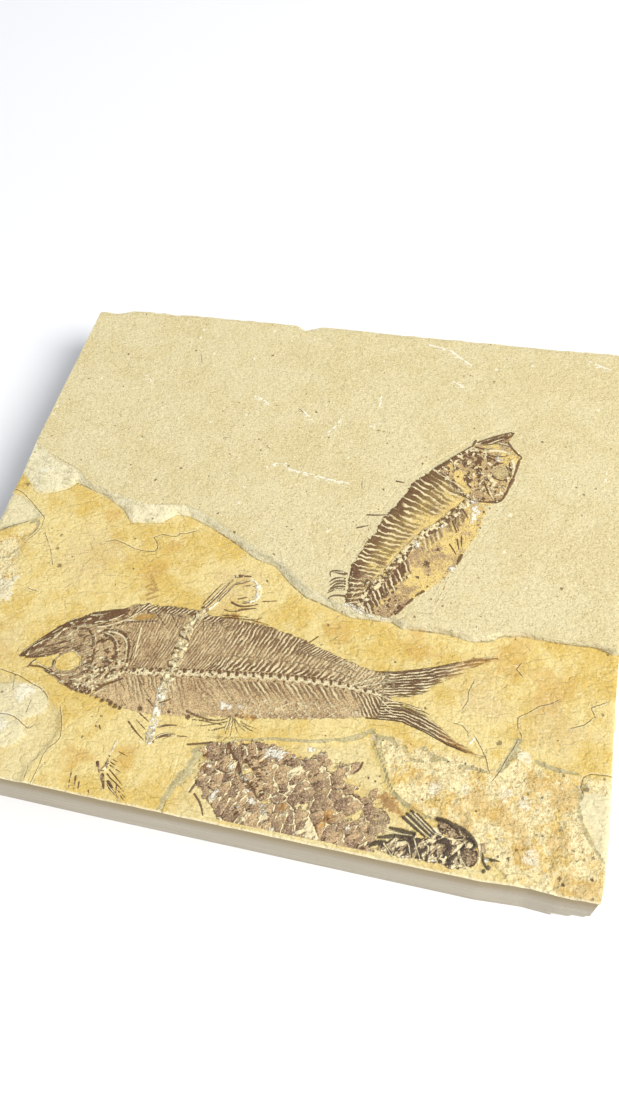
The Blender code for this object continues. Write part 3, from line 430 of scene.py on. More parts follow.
# Faint brown feathering above the large fish
FEATHER = {
    0.30: [
        [(-31.0, -15.2), (-29.5, -17.1), (-27.7, -19.2)], [(-31.3, -18.6), (-30.0, -17.5)],
        [(-30.2, -18.8), (-27.5, -18.8)], [(-30.3, -20.5), (-28.3, -19.2)],
        [(-29.7, -21.6), (-27.4, -20.2)],
    ],
}
# Dark specks: the middle and the radius of each
DARK_SPOTS = [
    (-54.1, -16.4, 0.8), (-57.0, -8.1, 0.5), (-71.9, 5.2, 0.7), (70.5, -46.8, 0.6), (53.0, -40.7, 0.7),
    (-61.5, -8.2, 0.4), (-26.8, 36.2, 0.4), (0.1, 35.8, 0.4), (13.9, 34.0, 0.5), (-21.7, 21.3, 0.4),
    (-56.4, -11.9, 0.5), (66.4, -55.6, 0.45), (63.2, -57.2, 0.45), (58.7, -60.9, 0.4),
    (68.9, -59.0, 0.45), (59.7, -49.9, 0.4), (66.9, -64.5, 0.6), (73.0, -67.0, 0.5), (54.9, -59.6, 0.4),
    (46.8, -48.8, 0.4), (-3.2, 50.5, 0.4), (0.8, 52.7, 0.35), (15.2, 34.0, 0.4), (-2.8, 32.1, 0.3),
    (-4.5, 31.6, 0.3), (-4.6, 33.8, 0.35), (-8.8, 32.8, 0.3), (-7.5, 27.1, 0.35), (-2.4, 25.6, 0.3),
    (-19.8, 20.4, 0.4), (0.3, 13.1, 0.35), (5.5, 15.4, 0.3), (-23.7, 15.4, 0.35), (4.9, 51.6, 0.3),
    (13.4, 30.4, 0.3), (-62.1, -24.5, 0.4), (-64.2, -22.3, 0.35), (-25.7, -6.1, 0.3),
    (-39.7, -15.7, 0.35), (-22.8, -12.9, 0.3), (-35.5, -54.8, 0.35), (-21.6, -62.6, 0.3),
    (62.0, -57.3, 0.4), (71.0, -60.1, 0.45), (58.7, -50.8, 0.4), (53.6, -38.8, 0.35), (73.5, -44.2, 0.4),
    (70.6, -58.8, 0.35),
]


def nearest_line(x, y, lines, reach):
    """Signed distance to the nearest of several polylines, kept within the reach, and a mask that is one
    near a line. The sign lets the crack run between two mesh points instead of along them."""
    best = np.full(x.shape, reach)
    signed = np.full(x.shape, reach)
    for line in lines:
        close = near_path(x, y, line, reach)
        distance, side, _ = line_distance(x[close], y[close], line)
        closer = distance < best[close]
        best[close] = np.where(closer, distance, best[close])
        signed[close] = np.where(closer, distance * side, signed[close])
    return signed, ease(2.0 - 2.0 * best / reach)


def soft_spots(x, y, places):
    """Soft round spots with ragged rims: one in the middle, a half at the radius."""
    ragged = 0.5 * layered(x, y, 3.0, 95)
    cover = np.zeros_like(x)
    for spot_x, spot_y, radius in places:
        cover = np.maximum(cover, ease(1.5 - np.hypot(x - spot_x, y - spot_y) / radius + ragged))
    return cover


def stone_face(x, y):
    """Height of the split face in millimetres, and masks from 0 to 1 for the kinds of ground that show.
    The beds are flat with a slight swell, the ledge climbs from its foot to its crest, and each scar
    lowers the bed to its own floor over a short slope inside its outline."""
    swell = 0.05 * layered(x, y, 16.0, 3)
    climb = (y - line_at(LEDGE_FOOT, x)) / (line_at(LEDGE_CREST, x) - line_at(LEDGE_FOOT, x))
    upper = clamp(climb)
    ripple = 0.12 * layered(x, y, 3.0, 21) * clamp(4.0 * upper * (1.0 - upper))
    height = BED + swell + (UPPER_BED - BED) * upper ** 0.8 + ripple

    hollow = inside(x, y, HOLLOW)
    run = (y - HOLLOW_RUN[0]) / (HOLLOW_RUN[1] - HOLLOW_RUN[0])
    hollow_floor = blend(*HOLLOW_FLOOR, clamp(run)) + 0.07 * layered(x, y, 3.0, 31)
    height = blend(height, hollow_floor, ease(hollow / 1.3))

    rough = inside(x, y, ROUGH_GROUND) + 0.5 * layered(x, y, 2.5, 41)
    smooth = ease(inside(x, y, SMOOTH_PATCH) / 1.2 + 0.5)
    crumbs = 0.22 * layered(x, y, 3.4, 5) + 0.16 * layered(x, y, 1.3, 6, 2)
    height = blend(height, ROUGH_FLOOR + crumbs * (1.0 - 0.85 * smooth), ease(rough / 2.2))

    triangle = inside(x, y, TRIANGLE_SCAR)
    height = blend(height, SCAR_FLOOR + 0.04 * layered(x, y, 4.0, 51), ease(triangle / 0.8))
    cream = inside(x, y, CREAM_SCAR) + 0.8 * layered(x, y, 4.0, 61)
    flakes = np.round(lattice(x, y, 5.0, 62) * 3.0) / 3.0 - 0.5
    cream_floor = SCAR_FLOOR + 0.3 * flakes + 0.10 * layered(x, y, 2.0, 63)
    height = blend(height, cream_floor, ease(cream / 1.8))
    knob = inside(x, y, KNOB_SCAR)
    heap = np.zeros_like(x)
    wobble = 1.0 + 0.12 * layered(x, y, 4.0, 72)
    for knob_x, knob_y, long_radius, short_radius in KNOBS:
        reach = np.hypot((x - knob_x) / (long_radius * wobble), (y - knob_y) / (short_radius * wobble))
        heap = np.maximum(heap, KNOB_RISE * dome(reach))
    height = blend(height, SCAR_FLOOR - 0.1 + 0.06 * layered(x, y, 4.0, 71), ease(knob / 1.6))
    height = height + heap * ease(knob / 1.6) + 0.06 * layered(x, y, 1.5, 73) * (heap > 0.0)

    line, near_line = nearest_line(x, y, CRACKS, LINE_REACH)
    scratch, near_scratch = nearest_line(x, y, SCRATCHES, LINE_REACH)
    ledge_lines = [LEDGE_FOOT[2:-1], LEDGE_CREST[3:7], LEDGE_CREST[12:16]]
    ledge, near_ledge = nearest_line(x, y, ledge_lines, LINE_REACH)
    height = height - CRACK_DEPTH * clamp(1.0 - np.abs(line) / 0.4) * near_line

    to_front = y - line_at(FRONT_EDGE, x)
    to_back = line_at(BACK_EDGE, x) - y
    edge = np.minimum.reduce([HALF_WIDTH + 0.1 - np.abs(x), to_front, to_back])
    height = height - EDGE_DROP * clamp(1.0 - edge / EDGE_REACH) ** 2 * (0.4 + 1.2 * lattice(x, y, 2.4, 91))

    shaded_hollow_rim = ease(hollow / 0.25) * ease((1.0 + 0.5 * layered(x, y, 5.0, 35, 2) - hollow) / 0.5)
    masks = {
        "upper": ease(climb * 1.2),
        "broken": ease(climb / 0.1) * ease((1.0 - climb) / 0.1),
        # step: painted shade on the hollow's rim and at the low scarps, over the grey-green of freshly broken
        # stone
        "step": highest(shaded_hollow_rim * (1.0 - ease(rough)), strokes(x, y, SCARP_SHADOWS)),
        "feather": strokes(x, y, FEATHER),
        "dot": spots(x, y, DARK_SPOTS),
        "cream": highest(ease(rough / 1.5) * (1.0 - smooth), ease(cream / 2.0)),
        # pale stone of the scars and smooth patch, and a painted highlight on the knobs' raised tops
        "pale_scar_and_knob_highlight": highest(ease(triangle / 0.3), smooth * ease(rough), ease(heap / 0.3), 0.45 * ease(knob)),
        "hollow": ease(hollow / 1.6 - 0.6) * (1.0 - ease(rough)),
        "orange": soft_spots(x, y, ORANGE_SPOTS),
        "white": soft_spots(x, y, WHITE_SPOTS),
        "dull": soft_spots(x, y, DULL_SPOTS),
        "rim": ease(1.0 - edge / EDGE_REACH),
        "line": line,
        "line_near": near_line,
        "ledge": ledge,
        "ledge_near": near_ledge * (0.45 + 0.55 * ease(lattice(x, y, 4.0, 97) * 2.0 - 0.6)),
        "scratch": scratch,
        "scratch_near": near_scratch,
    }
    return height, masks


def rim_of(grid):
    """The values on a grid's rim, against the clock from its first corner."""
    return np.concatenate([grid[0, :], grid[1:, -1], grid[-1, -2::-1], grid[-2:0:-1, 0]])


def block_parts(x, y, z, rings, masks):
    """Points, faces and masks of a closed solid: a grid of points is its top, each ring takes the grid's rim
    one step further down, and one flat face closes the underside. Masks are kept at the points."""
    rows, columns = x.shape
    index = np.arange(rows * columns).reshape(rows, columns)
    rim = rim_of(index)
    top = np.stack([x.ravel(), y.ravel(), z.ravel()], 1)
    points = np.concatenate([top] + [np.stack(ring, 1) for ring in rings])
    corners = [index[:-1, :-1], index[:-1, 1:], index[1:, 1:], index[1:, :-1]]
    faces = [np.stack(corners, -1).reshape(-1, 4)]
    upper_ring = rim
    for i in range(len(rings)):
        lower_ring = rows * columns + i * len(rim) + np.arange(len(rim))
        faces.append(np.stack([upper_ring, lower_ring, np.roll(lower_ring, -1), np.roll(upper_ring, -1)], -1))
        upper_ring = lower_ring
    values = {"wall": (np.arange(len(points)) >= rows * columns).astype(float)}
    for name, mask in masks.items():
        values[name] = np.concatenate([mask.ravel()] + [mask.ravel()[rim]] * len(rings))
    return points, np.concatenate(faces), upper_ring[::-1], values


def made_piece(name, parts):
    """One mesh object from the parts of one or more closed solids."""
    starts = np.cumsum([0] + [len(part[0]) for part in parts])
    faces = []
    for start, (points, quads, underside, values) in zip(starts, parts):
        faces += (quads + start).tolist() + [(underside + start).tolist()]
    mesh = bpy.data.meshes.new(name)
    mesh.from_pydata(np.concatenate([points for points, quads, underside, values in parts]) * MM, [], faces)
    for mask_name in parts[0][3]:
        attribute = mesh.attributes.new(mask_name, "FLOAT", "POINT")
        spread = np.concatenate([values[mask_name] for points, quads, underside, values in parts])
        attribute.data.foreach_set("value", spread.astype(np.float32))
    mesh.shade_smooth()
    mesh.set_sharp_from_angle(angle=math.radians(50.0))
    piece = bpy.data.objects.new(name, mesh)
    bpy.context.scene.collection.objects.link(piece)
    return piece


class Wire:
    """A socket of a material, on which arithmetic adds Math nodes."""

    def __init__(self, finish, socket):
        self.finish = finish
        self.socket = socket

    def __add__(self, other):
        return self.finish.math("ADD", self, other)

    def __sub__(self, other):
        return self.finish.math("SUBTRACT", self, other)

    def __rsub__(self, other):
        return self.finish.math("SUBTRACT", other, self)

    def __mul__(self, other):
        return self.finish.math("MULTIPLY", self, other)

    def __abs__(self):
        return self.finish.math("ABSOLUTE", self, 0.0)

    __radd__ = __add__
    __rmul__ = __mul__


class Finish:
    """A Principled material with its nodes, worked out on Object coordinates in millimetres."""

    def __init__(self, name, roughness):
        self.material = bpy.data.materials.new(name)
        self.material.use_nodes = True
        self.tree = self.material.node_tree
        self.shader = self.tree.nodes["Principled BSDF"]
        self.shader.inputs["Roughness"].default_value = roughness
        place = self.node("ShaderNodeTexCoord", {}, {}, "Object")
        self.place = self.vector("SCALE", place, {"Scale": 1000.0})

    def node(self, kind, settings, sockets, output=0):
        """Any node: its type, its settings, the values or wires of its sockets, and the socket it gives."""
        made = self.tree.nodes.new(kind)
        for name, value in settings.items():
            setattr(made, name, value)
        for name, value in sockets.items():
            if isinstance(value, Wire):
                self.tree.links.new(value.socket, made.inputs[name])
            else:
                made.inputs[name].default_value = value
        return Wire(self, made.outputs[output])

    def math(self, operation, a, b):
        """A Math node of two values or wires."""
        return self.node("ShaderNodeMath", {"operation": operation}, {0: a, 1: b})

    def vector(self, operation, a, sockets):
        """A Vector Math node."""
        return self.node("ShaderNodeVectorMath", {"operation": operation}, {0: a, **sockets})

    def mix(self, share, a, b):
        """Colour a where the share is zero, b where it is one, plain ones as a screen shows them."""
        a, b = [side if isinstance(side, Wire) else shade(*side) for side in (a, b)]
        return self.node("ShaderNodeMix", {"data_type": "RGBA"}, {0: share, 6: a, 7: b}, 2)

    def coated(self, colour, coats):
        """The colour under coats laid one over the other, each with the share it covers and its colour."""
        for share, coat in coats:
            colour = self.mix(share, colour, coat)
        return colour

    def between(self, value, low, high):
        """Zero below low, one above high, eased between them."""
        sockets = {"Value": value, "From Min": low, "From Max": high}
        return self.node("ShaderNodeMapRange", {"interpolation_type": "SMOOTHSTEP"}, sockets)

    def noise(self, cell, detail=3.0, stretch=(1.0, 1.0, 1.0)):
        """Noise from 0 to 1 whose features are about a cell wide, in millimetres, longer where stretched."""
        scale = [1.0 / (cell * s) for s in stretch]
        place = self.vector("MULTIPLY", self.place, {1: scale})
        return self.node("ShaderNodeTexNoise", {}, {"Vector": place, "Scale": 1.0, "Detail": detail})

    def specks(self, cell, size, share):
        """Round specks up to a size across, in some of the cells of a Voronoi pattern."""
        wobble = self.node("ShaderNodeTexNoise", {}, {"Vector": self.place, "Scale": 2.5 / size}, "Color")
        place = self.vector("MULTIPLY_ADD", wobble, {1: (size,) * 3, 2: self.place})
        sockets = {"Vector": self.vector("SCALE", place, {"Scale": 1.0 / cell}), "Scale": 1.0}
        distance = self.node("ShaderNodeTexVoronoi", {}, sockets, "Distance")
        chance = self.node("ShaderNodeTexVoronoi", {}, sockets, "Color")
        level = self.node("ShaderNodeSeparateColor", {}, {"Color": chance}, 0)
        radius = self.between(level, 1.0 - share, 1.0) * (0.5 * size / cell)
        return self.between(radius - distance, -0.05 * size / cell, 0.12 * size / cell)

    def mask(self, name):
        """A mask stored at the mesh's points."""
        return self.node("ShaderNodeAttribute", {"attribute_name": name}, {}, "Fac")

    def finish(self, colour, height, depth):
        """Wires the colour, and a bump of the height that stands depth millimetres proud."""
        self.tree.links.new(colour.socket, self.shader.inputs["Base Color"])
        sockets = {"Height": height, "Distance": depth * MM, "Strength": 1.0}
        bump = self.node("ShaderNodeBump", {}, sockets)
        self.tree.links.new(bump.socket, self.shader.inputs["Normal"])
        return self.material


def shade(red, green, blue):
    """A colour as a screen shows it, 0 to 255, made linear."""
    screen = np.array([red, green, blue]) / 255.0
    linear = np.where(screen < 0.04045, screen / 12.92, ((screen + 0.055) / 1.055) ** 2.4)
    return (*linear.tolist(), 1.0)


# Colours of the stone, as a screen shows them
PALE_OCHRE = (228, 206, 138)
DEEP_OCHRE = (215, 184, 98)
DULL_OCHRE = (214, 190, 136)
PALE_BUFF = (220, 206, 160)
DEEP_BUFF = (214, 198, 148)
PALE_HOLLOW = (226, 208, 150)
DEEP_HOLLOW = (220, 194, 126)
PALE_CREAM = (238, 222, 170)
STAINED_CREAM = (222, 190, 112)
# Pale stone of the scars, and a painted highlight on the knobs
PALE_SCAR_AND_KNOB_HIGHLIGHT = (226, 216, 176)
# Pale cream of the ledge's broken face, lightened with painted light
PALE_SCARP_AND_LIGHT = (233, 224, 187)
GREEN_SCARP = (205, 197, 158)
# Painted shade at steps and scarps, over the grey-green of freshly broken stone
SHADED_BREAK_DARK = (150, 142, 104)
SHADED_BREAK_GREY = (186, 178, 136)
ORANGE_STAIN = (204, 160, 72)
WHITE_CRUST = (242, 237, 214)
DARK_GRAIN = (158, 128, 74)
PALE_GRAIN = (246, 234, 188)
PALE_FLECK = (250, 242, 208)
FLAKE_SHADE = (150, 120, 66)
MOTTLE = (200, 158, 76)
DUST = (252, 246, 220)
BROWN_SPECK = (112, 84, 46)
DARK_CRUMB = (70, 56, 36)
# Painted highlight beside the cracks, and cracks dark, partly with painted shade
CRACK_HIGHLIGHT = (246, 236, 204)
CRACK_AND_SHADE_DARK = (116, 94, 56)
# Painted shade along the ledge's foot and crest
LEDGE_SHADE = (118, 108, 74)
SCRATCH_WHITE = (252, 248, 232)
FEATHER_BROWN = (150, 104, 52)
DOT_BROWN = (104, 82, 46)
CHIPPED_EDGE = (240, 228, 190)


def rock(finish):
    """The split stone's colour and relief, the same on the slab and on the skin of stone round each fossil:
    ochre below, pale buff above, greenish cream where freshly broken, with painted light on the ledge's
    broken face. Clouds and grain of several sizes darken and lighten it, thin flakes leave small steps edged
    with painted shade, and stains, specks and cracks lie on it. Painted shade lies in the cracks, along the
    ledge, at steps and scarps, and painted highlights lie beside the cracks and on the knobs."""
    broad = finish.noise(15.0)
    cloud = finish.noise(4.2, 4.0)
    grain = finish.noise(1.1, 4.0)
    fine = finish.noise(0.42)
    pits = finish.noise(0.30, 2.0)
    streak = finish.noise(1.3, 3.0, (2.2, 0.9, 1.0))
    ragged = fine - 0.5
    upper = finish.mask("upper")
    cream = finish.mask("cream")
    not_upper = 1.0 - upper * 0.75

    tone = finish.between(broad + (cloud - 0.5) * 0.7, 0.36, 0.66)
    stain = finish.between(cloud + (grain - 0.5) * 0.5, 0.48, 0.66)
    # Painted shade at the hollow's rim and the low scarps
    scarp_shade = finish.between(finish.mask("step") * 0.8 + (streak - 0.5) * 0.9, 0.30, 0.60)
    orange = finish.between(finish.mask("orange") * 0.5 + grain * 0.6 + ragged * 0.6, 0.52, 0.86)
    white = finish.between(finish.mask("white") * 0.5 + grain * 0.6 + ragged * 0.5, 0.54, 0.84)
    # The ledge's broken face: greenish cream of fresh breaks, lightened with painted light
    scarp_and_light = finish.mix(finish.between(streak, 0.50, 0.66), PALE_SCARP_AND_LIGHT, GREEN_SCARP)
    colour = finish.coated(finish.mix(tone, PALE_OCHRE, DEEP_OCHRE), [
        (finish.mask("dull") * 0.5, DULL_OCHRE),
        (upper, finish.mix(tone, PALE_BUFF, DEEP_BUFF)),
        (finish.mask("hollow") * 0.8, finish.mix(tone, PALE_HOLLOW, DEEP_HOLLOW)),
        (cream, finish.mix(stain, PALE_CREAM, STAINED_CREAM)),
        (finish.mask("pale_scar_and_knob_highlight") * 0.85, PALE_SCAR_AND_KNOB_HIGHLIGHT),
        (finish.mask("broken") * 0.9, scarp_and_light),
        (scarp_shade * 0.80, finish.mix(grain, SHADED_BREAK_DARK, SHADED_BREAK_GREY)),
        (orange * 0.60, ORANGE_STAIN),
        (white * 0.7, WHITE_CRUST),
    ])

    # Grain, flakes with painted shade at their edges, folds and specks
    strength = finish.math("MAXIMUM", upper, cream) * 0.45 + 0.65
    dark_grain = finish.between(1.0 - fine, 0.50, 0.70) * 0.40
    dark_grain = dark_grain + finish.between(1.0 - grain, 0.50, 0.76) * 0.20
    pale_grain = finish.between(fine, 0.53, 0.70) * 0.46 + finish.between(grain, 0.54, 0.76) * 0.24
    flecks = finish.between(finish.noise(0.8, 2.0, (1.6, 0.7, 1.0)), 0.66, 0.74)
    flake = finish.noise(3.4) + (grain - 0.5) * 0.16
    step = finish.between(flake, 0.495, 0.512) + finish.between(flake, 0.60, 0.612)
    # Painted shade along the edges of thin flakes
    flake_edge_shade = (1.0 - finish.between(abs(flake - 0.500), 0.0, 0.016)) * finish.between(cloud, 0.46, 0.58)
    fold = finish.noise(2.8, 2.0, (1.5, 0.8, 1.0))
    crease = (1.0 - finish.between(abs(fold - 0.5), 0.0, 0.09)) * (1.0 - upper * 0.7)
    mottle = finish.between(finish.noise(0.65, 4.0), 0.50, 0.66) * cream
    small_specks = finish.specks(1.7, 0.5, 0.16) * upper
    specks = finish.math("MAXIMUM", finish.specks(2.7, 0.75, 0.38), small_specks) * 0.80
    crumbs = finish.specks(1.7, 0.75, 0.40) * cream * 0.85
    colour = finish.coated(colour, [
        (dark_grain * strength, DARK_GRAIN),
        (pale_grain * strength, PALE_GRAIN),
        (flecks * 0.4, PALE_FLECK),
        (flake_edge_shade * not_upper * 0.10, FLAKE_SHADE),
        (mottle * 0.50, MOTTLE),
        (finish.specks(2.9, 1.0, 0.40) * upper * 0.55, DUST),
        (specks, BROWN_SPECK),
        (crumbs, DARK_CRUMB),
    ])

    # Cracks, dark as cracks and painted shade with a painted highlight beside them, the ledge's edge in
    # painted shade, scratches and drawn marks
    wander = ragged * 0.30
    crack = finish.mask("line") + wander
    by_line = finish.mask("line_near")
    # Dark in the crack, partly the crack itself and partly painted shade at its small step
    crack_and_shade = (1.0 - finish.between(abs(crack), 0.02, 0.13)) * by_line
    crack_and_shade = crack_and_shade * finish.between(grain + by_line * 0.2, 0.46, 0.68)
    # Painted highlight along one side of each crack
    crack_highlight = (1.0 - finish.between(abs(crack - 0.26), 0.04, 0.20)) * by_line
    # Painted shade along the ledge's foot and crest
    ledge = (1.0 - finish.between(abs(finish.mask("ledge") + wander), 0.04, 0.20)) * finish.mask("ledge_near")
    ledge = ledge * finish.between(grain, 0.36, 0.54)
    scratch = 1.0 - finish.between(abs(finish.mask("scratch") + wander * 2.0), 0.06, 0.34)
    scratch = scratch * finish.mask("scratch_near") * finish.between(grain, 0.40, 0.5)
    colour = finish.coated(colour, [
        (crack_highlight * 0.28, CRACK_HIGHLIGHT),
        (crack_and_shade * 0.75, CRACK_AND_SHADE_DARK),
        (ledge * 0.70, LEDGE_SHADE),
        (scratch * 0.85, SCRATCH_WHITE),
        (finish.between(finish.mask("feather") + ragged * 1.4, 0.30, 0.62) * 0.62, FEATHER_BROWN),
        (finish.between(finish.mask("dot") + ragged * 0.9, 0.52, 0.70) * 0.75, DOT_BROWN),
        (finish.between(finish.mask("rim") * 0.6 + fine * 0.5, 0.55, 0.75) * 0.7, CHIPPED_EDGE),
    ])

    relief = grain * (0.7 + cream * 0.9) + fine * (0.5 + cream * 0.5) + pits * 0.2 + cloud * 0.5 + step * 0.16
    relief = relief - crease * 0.52 - mottle * 0.3 - scarp_shade * 0.5 - specks * 0.5 - crumbs * 0.6
    relief = relief - crack_and_shade * 0.8 - ledge * 0.3 + scratch * 0.2
    return colour, relief


def bed_outline(bed):
    """The outline of a fossil's bed in the slab's own frame."""
    angle, near, far = bed
    return [turned(s, t, -angle) for s, t in near + far[::-1]]


# Colours of the sawn faces, as a screen shows them
PALE_SAWN = (202, 192, 173)
DEEP_SAWN = (185, 174, 152)
MID_SAWN = (194, 184, 164)
WARM_SAWN = (160, 140, 98)
# Painted shade at the foot of the walls
SAWN_FOOT_SHADE = (156, 146, 126)
BROWN_CRUST = (170, 134, 72)
RELIEF_DEPTH = 0.22
STONE_COLUMNS = 300
STONE_ROWS = (166, 14, 84)
WALL_LEVELS = (0.985, 0.95, 0.90, 0.84, 0.76, 0.68, 0.60, 0.50, 0.40, 0.30, 0.20, 0.10, 0.0)


def stone_grid():
    """Points over the slab: columns run from the left edge to the right one, rows from the front edge to
    the ledge's foot, its crest and the back edge, so that the mesh follows the broken ledge."""
    across = np.linspace(-HALF_WIDTH, HALF_WIDTH, STONE_COLUMNS)
    lines = [line_at(line, across) for line in (FRONT_EDGE, LEDGE_FOOT, LEDGE_CREST, BACK_EDGE)]
    strips = []
    for near, far, rows in zip(lines[:-1], lines[1:], STONE_ROWS):
        strips.append(blend(near, far, np.arange(rows)[:, None] / rows))
    y = np.concatenate(strips + [lines[-1][None, :]])
    share = np.linspace(0.0, 1.0, STONE_COLUMNS)
    x = line_at(LEFT_EDGE, y) * (1.0 - share) + line_at(RIGHT_EDGE, y) * share
    return x, y


def sawn_walls(x, y, z):
    """Rings of wall points from the rim down to the underside. The brown crust stands a little proud of the
    sawn face, and the front right corner has lost a piece at the bottom."""
    rings = []
    corner = (75.3 - x) + (y + 68.1)
    for level in WALL_LEVELS:
        height = z * level
        inset = 0.16 * ease((1.0 - level) / 0.06) + 0.02 * lattice(x + y, height * 0.6, 4.0, 81)
        chip = 4.4 - height - 0.55 * corner + 0.5 * lattice(x * 3.0, height * 3.0, 2.0, 82)
        chip = 0.7 * np.clip(chip, 0.0, None)
        ring_x = x - x / HALF_WIDTH * inset * (np.abs(x) > HALF_WIDTH - 2.0) - chip
        ring_y = y - y / HALF_DEPTH * inset * (np.abs(y) > HALF_DEPTH - 3.0) + chip
        rings.append((ring_x, ring_y, height))
    return rings


def make_stone_slab():
    """The slab as one closed mesh, its face sunk under each fossil's bed."""
    x, y = stone_grid()
    z, masks = stone_face(x, y)
    for bed in FOSSIL_BEDS:
        z = z - BED_HOLLOW * cover_of(x, y, bed_outline(bed), 0.8, -0.5)
    rings = sawn_walls(rim_of(x), rim_of(y), rim_of(z))
    return made_piece("stone_slab_face", [block_parts(x, y, z, rings, masks)])


def slab_finish():
    """Split stone on top, and grey sawn stone on the walls: fine layers, warmer and darker towards the brown
    crust under the split face, with painted shade along the foot where the walls meet the table."""
    finish = Finish("buff_stone", 0.85)
    colour, relief = rock(finish)
    side = finish.between(finish.mask("wall"), 0.3, 0.6)
    height = finish.node("ShaderNodeSeparateXYZ", {}, {0: finish.place}, 2)
    layers = finish.noise(0.8, 3.0, (40.0, 40.0, 1.0))
    saw_tone = finish.mix(finish.between(layers, 0.35, 0.68), PALE_SAWN, DEEP_SAWN)
    saw_tone = finish.coated(saw_tone, [
        (finish.noise(3.0, 3.0, (3.0, 3.0, 0.6)) * 0.5, MID_SAWN),
        (finish.between(height, 8.0, 16.5) * 0.90, WARM_SAWN),
        # Painted shade along the foot of the walls, where they meet the table
        ((1.0 - finish.between(height + (finish.noise(2.0) - 0.5), 0.3, 1.0)) * 0.5, SAWN_FOOT_SHADE),
        (finish.between(height + (finish.noise(2.2) - 0.5), 16.8, 17.2) * 0.75, BROWN_CRUST),
    ])
    return finish.finish(finish.mix(side, colour, saw_tone), relief * (1.0 - side * 0.7), RELIEF_DEPTH)


stone = make_stone_slab()
stone.data.materials.append(slab_finish())
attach(stone, "root")
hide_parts("stone_slab")

# The large fish
# A herring-like fish pressed flat: a thin brown film of skin and scales, a backbone of small hourglasses
# with its fine spines and ribs, dark skull bones round an empty eye socket, and a forked tail of long rays.
# Lines and outlines of the fish on the slab, in millimetres
LARGE_BACK = [
    (-54.4, -40.2), (-51.4, -36.0), (-46.9, -31.4), (-42.1, -28.2), (-35.6, -25.4), (-32.4, -23.6),
    (-29.0, -22.5), (-26.5, -22.8), (-21.8, -22.2), (-17.3, -22.2), (-13.2, -22.9), (-5.3, -23.0),
    (-0.9, -23.3), (4.4, -24.2), (10.0, -25.6), (17.2, -27.7), (21.1, -28.9), (27.0, -29.9),
    (31.5, -29.6),
]
LARGE_BELLY = [
    (-53.9, -41.2), (-50.8, -43.0), (-45.7, -43.9), (-40.1, -45.6), (-37.2, -46.6), (-31.9, -47.2),
    (-26.3, -48.2), (-22.6, -48.5), (-18.0, -48.3), (-13.6, -47.8), (-5.2, -46.2), (1.0, -45.3),
    (7.3, -44.1), (12.1, -43.4), (20.4, -41.7), (23.6, -41.0), (28.8, -39.9), (31.5, -39.6),
]
LARGE_SPINE = [
    (-29.0, -40.0), (-18.5, -38.2), (-9.3, -37.0), (-3.1, -36.3), (5.9, -35.1), (14.8, -34.4),
    (21.4, -34.4), (27.5, -35.0),
]
VERTEBRA = 1.87
NAPE = [
    (-50.0, -36.0), (-46.6, -34.8), (-45.2, -33.5), (-43.0, -31.0), (-41.5, -28.8), (-38.0, -28.7),
    (-34.0, -29.4), (-31.0, -30.4), (-28.0, -31.6), (-26.0, -33.0), (-20.0, -33.4),
]
HEAD = [
    (-54.4, -40.6), (-53.1, -38.1), (-50.4, -34.8), (-47.5, -31.3), (-45.0, -29.5), (-41.6, -27.2),
    (-38.9, -26.4), (-35.8, -25.2), (-32.6, -24.0), (-28.0, -24.0), (-26.0, -30.0), (-26.0, -38.2),
    (-27.0, -41.6), (-31.3, -42.8), (-33.5, -45.2), (-34.9, -46.6), (-37.1, -46.8), (-39.1, -46.4),
    (-41.2, -45.7), (-43.6, -44.6), (-47.6, -43.0), (-46.2, -42.0), (-45.6, -41.0), (-45.4, -38.6),
    (-48.4, -39.8), (-51.0, -40.6),
]
# The eye socket's middle, both radii and its slope
EYE = (-42.4, -39.9, 2.9, 2.35, 0.19)
JAW_PLATE = [
    (-41.4, -44.4), (-39.6, -44.2), (-37.0, -44.6), (-35.2, -44.6), (-34.9, -46.3), (-37.2, -46.8),
    (-39.0, -46.4), (-41.2, -45.4),
]
OCHRE_WEDGE = [
    (-31.6, -27.2), (-30.2, -25.6), (-28.1, -25.0), (-25.9, -25.0), (-26.2, -26.0), (-28.2, -26.8),
    (-30.6, -27.5),
]
UPPER_LOBE_TOP = [
    (26.0, -29.9), (29.6, -29.3), (32.7, -28.4), (37.3, -26.9), (42.5, -24.7), (46.1, -23.1),
    (49.9, -21.8),
]
UPPER_LOBE_LOW = [
    (26.0, -34.8), (30.0, -34.9), (33.4, -34.4), (36.0, -33.0), (38.0, -31.2), (41.0, -29.0),
    (43.7, -26.9), (46.5, -24.9), (49.9, -22.4),
]
LOWER_LOBE_TOP = [
    (26.0, -35.2), (29.8, -35.9), (32.4, -36.0), (36.0, -36.6), (40.3, -38.5), (43.0, -40.4),
    (45.0, -41.9), (48.9, -44.0),
]
LOWER_LOBE_LOW = [
    (26.0, -40.5), (29.5, -40.1), (33.0, -39.9), (38.0, -41.2), (42.8, -43.0), (46.6, -43.9),
    (48.9, -44.4),
]
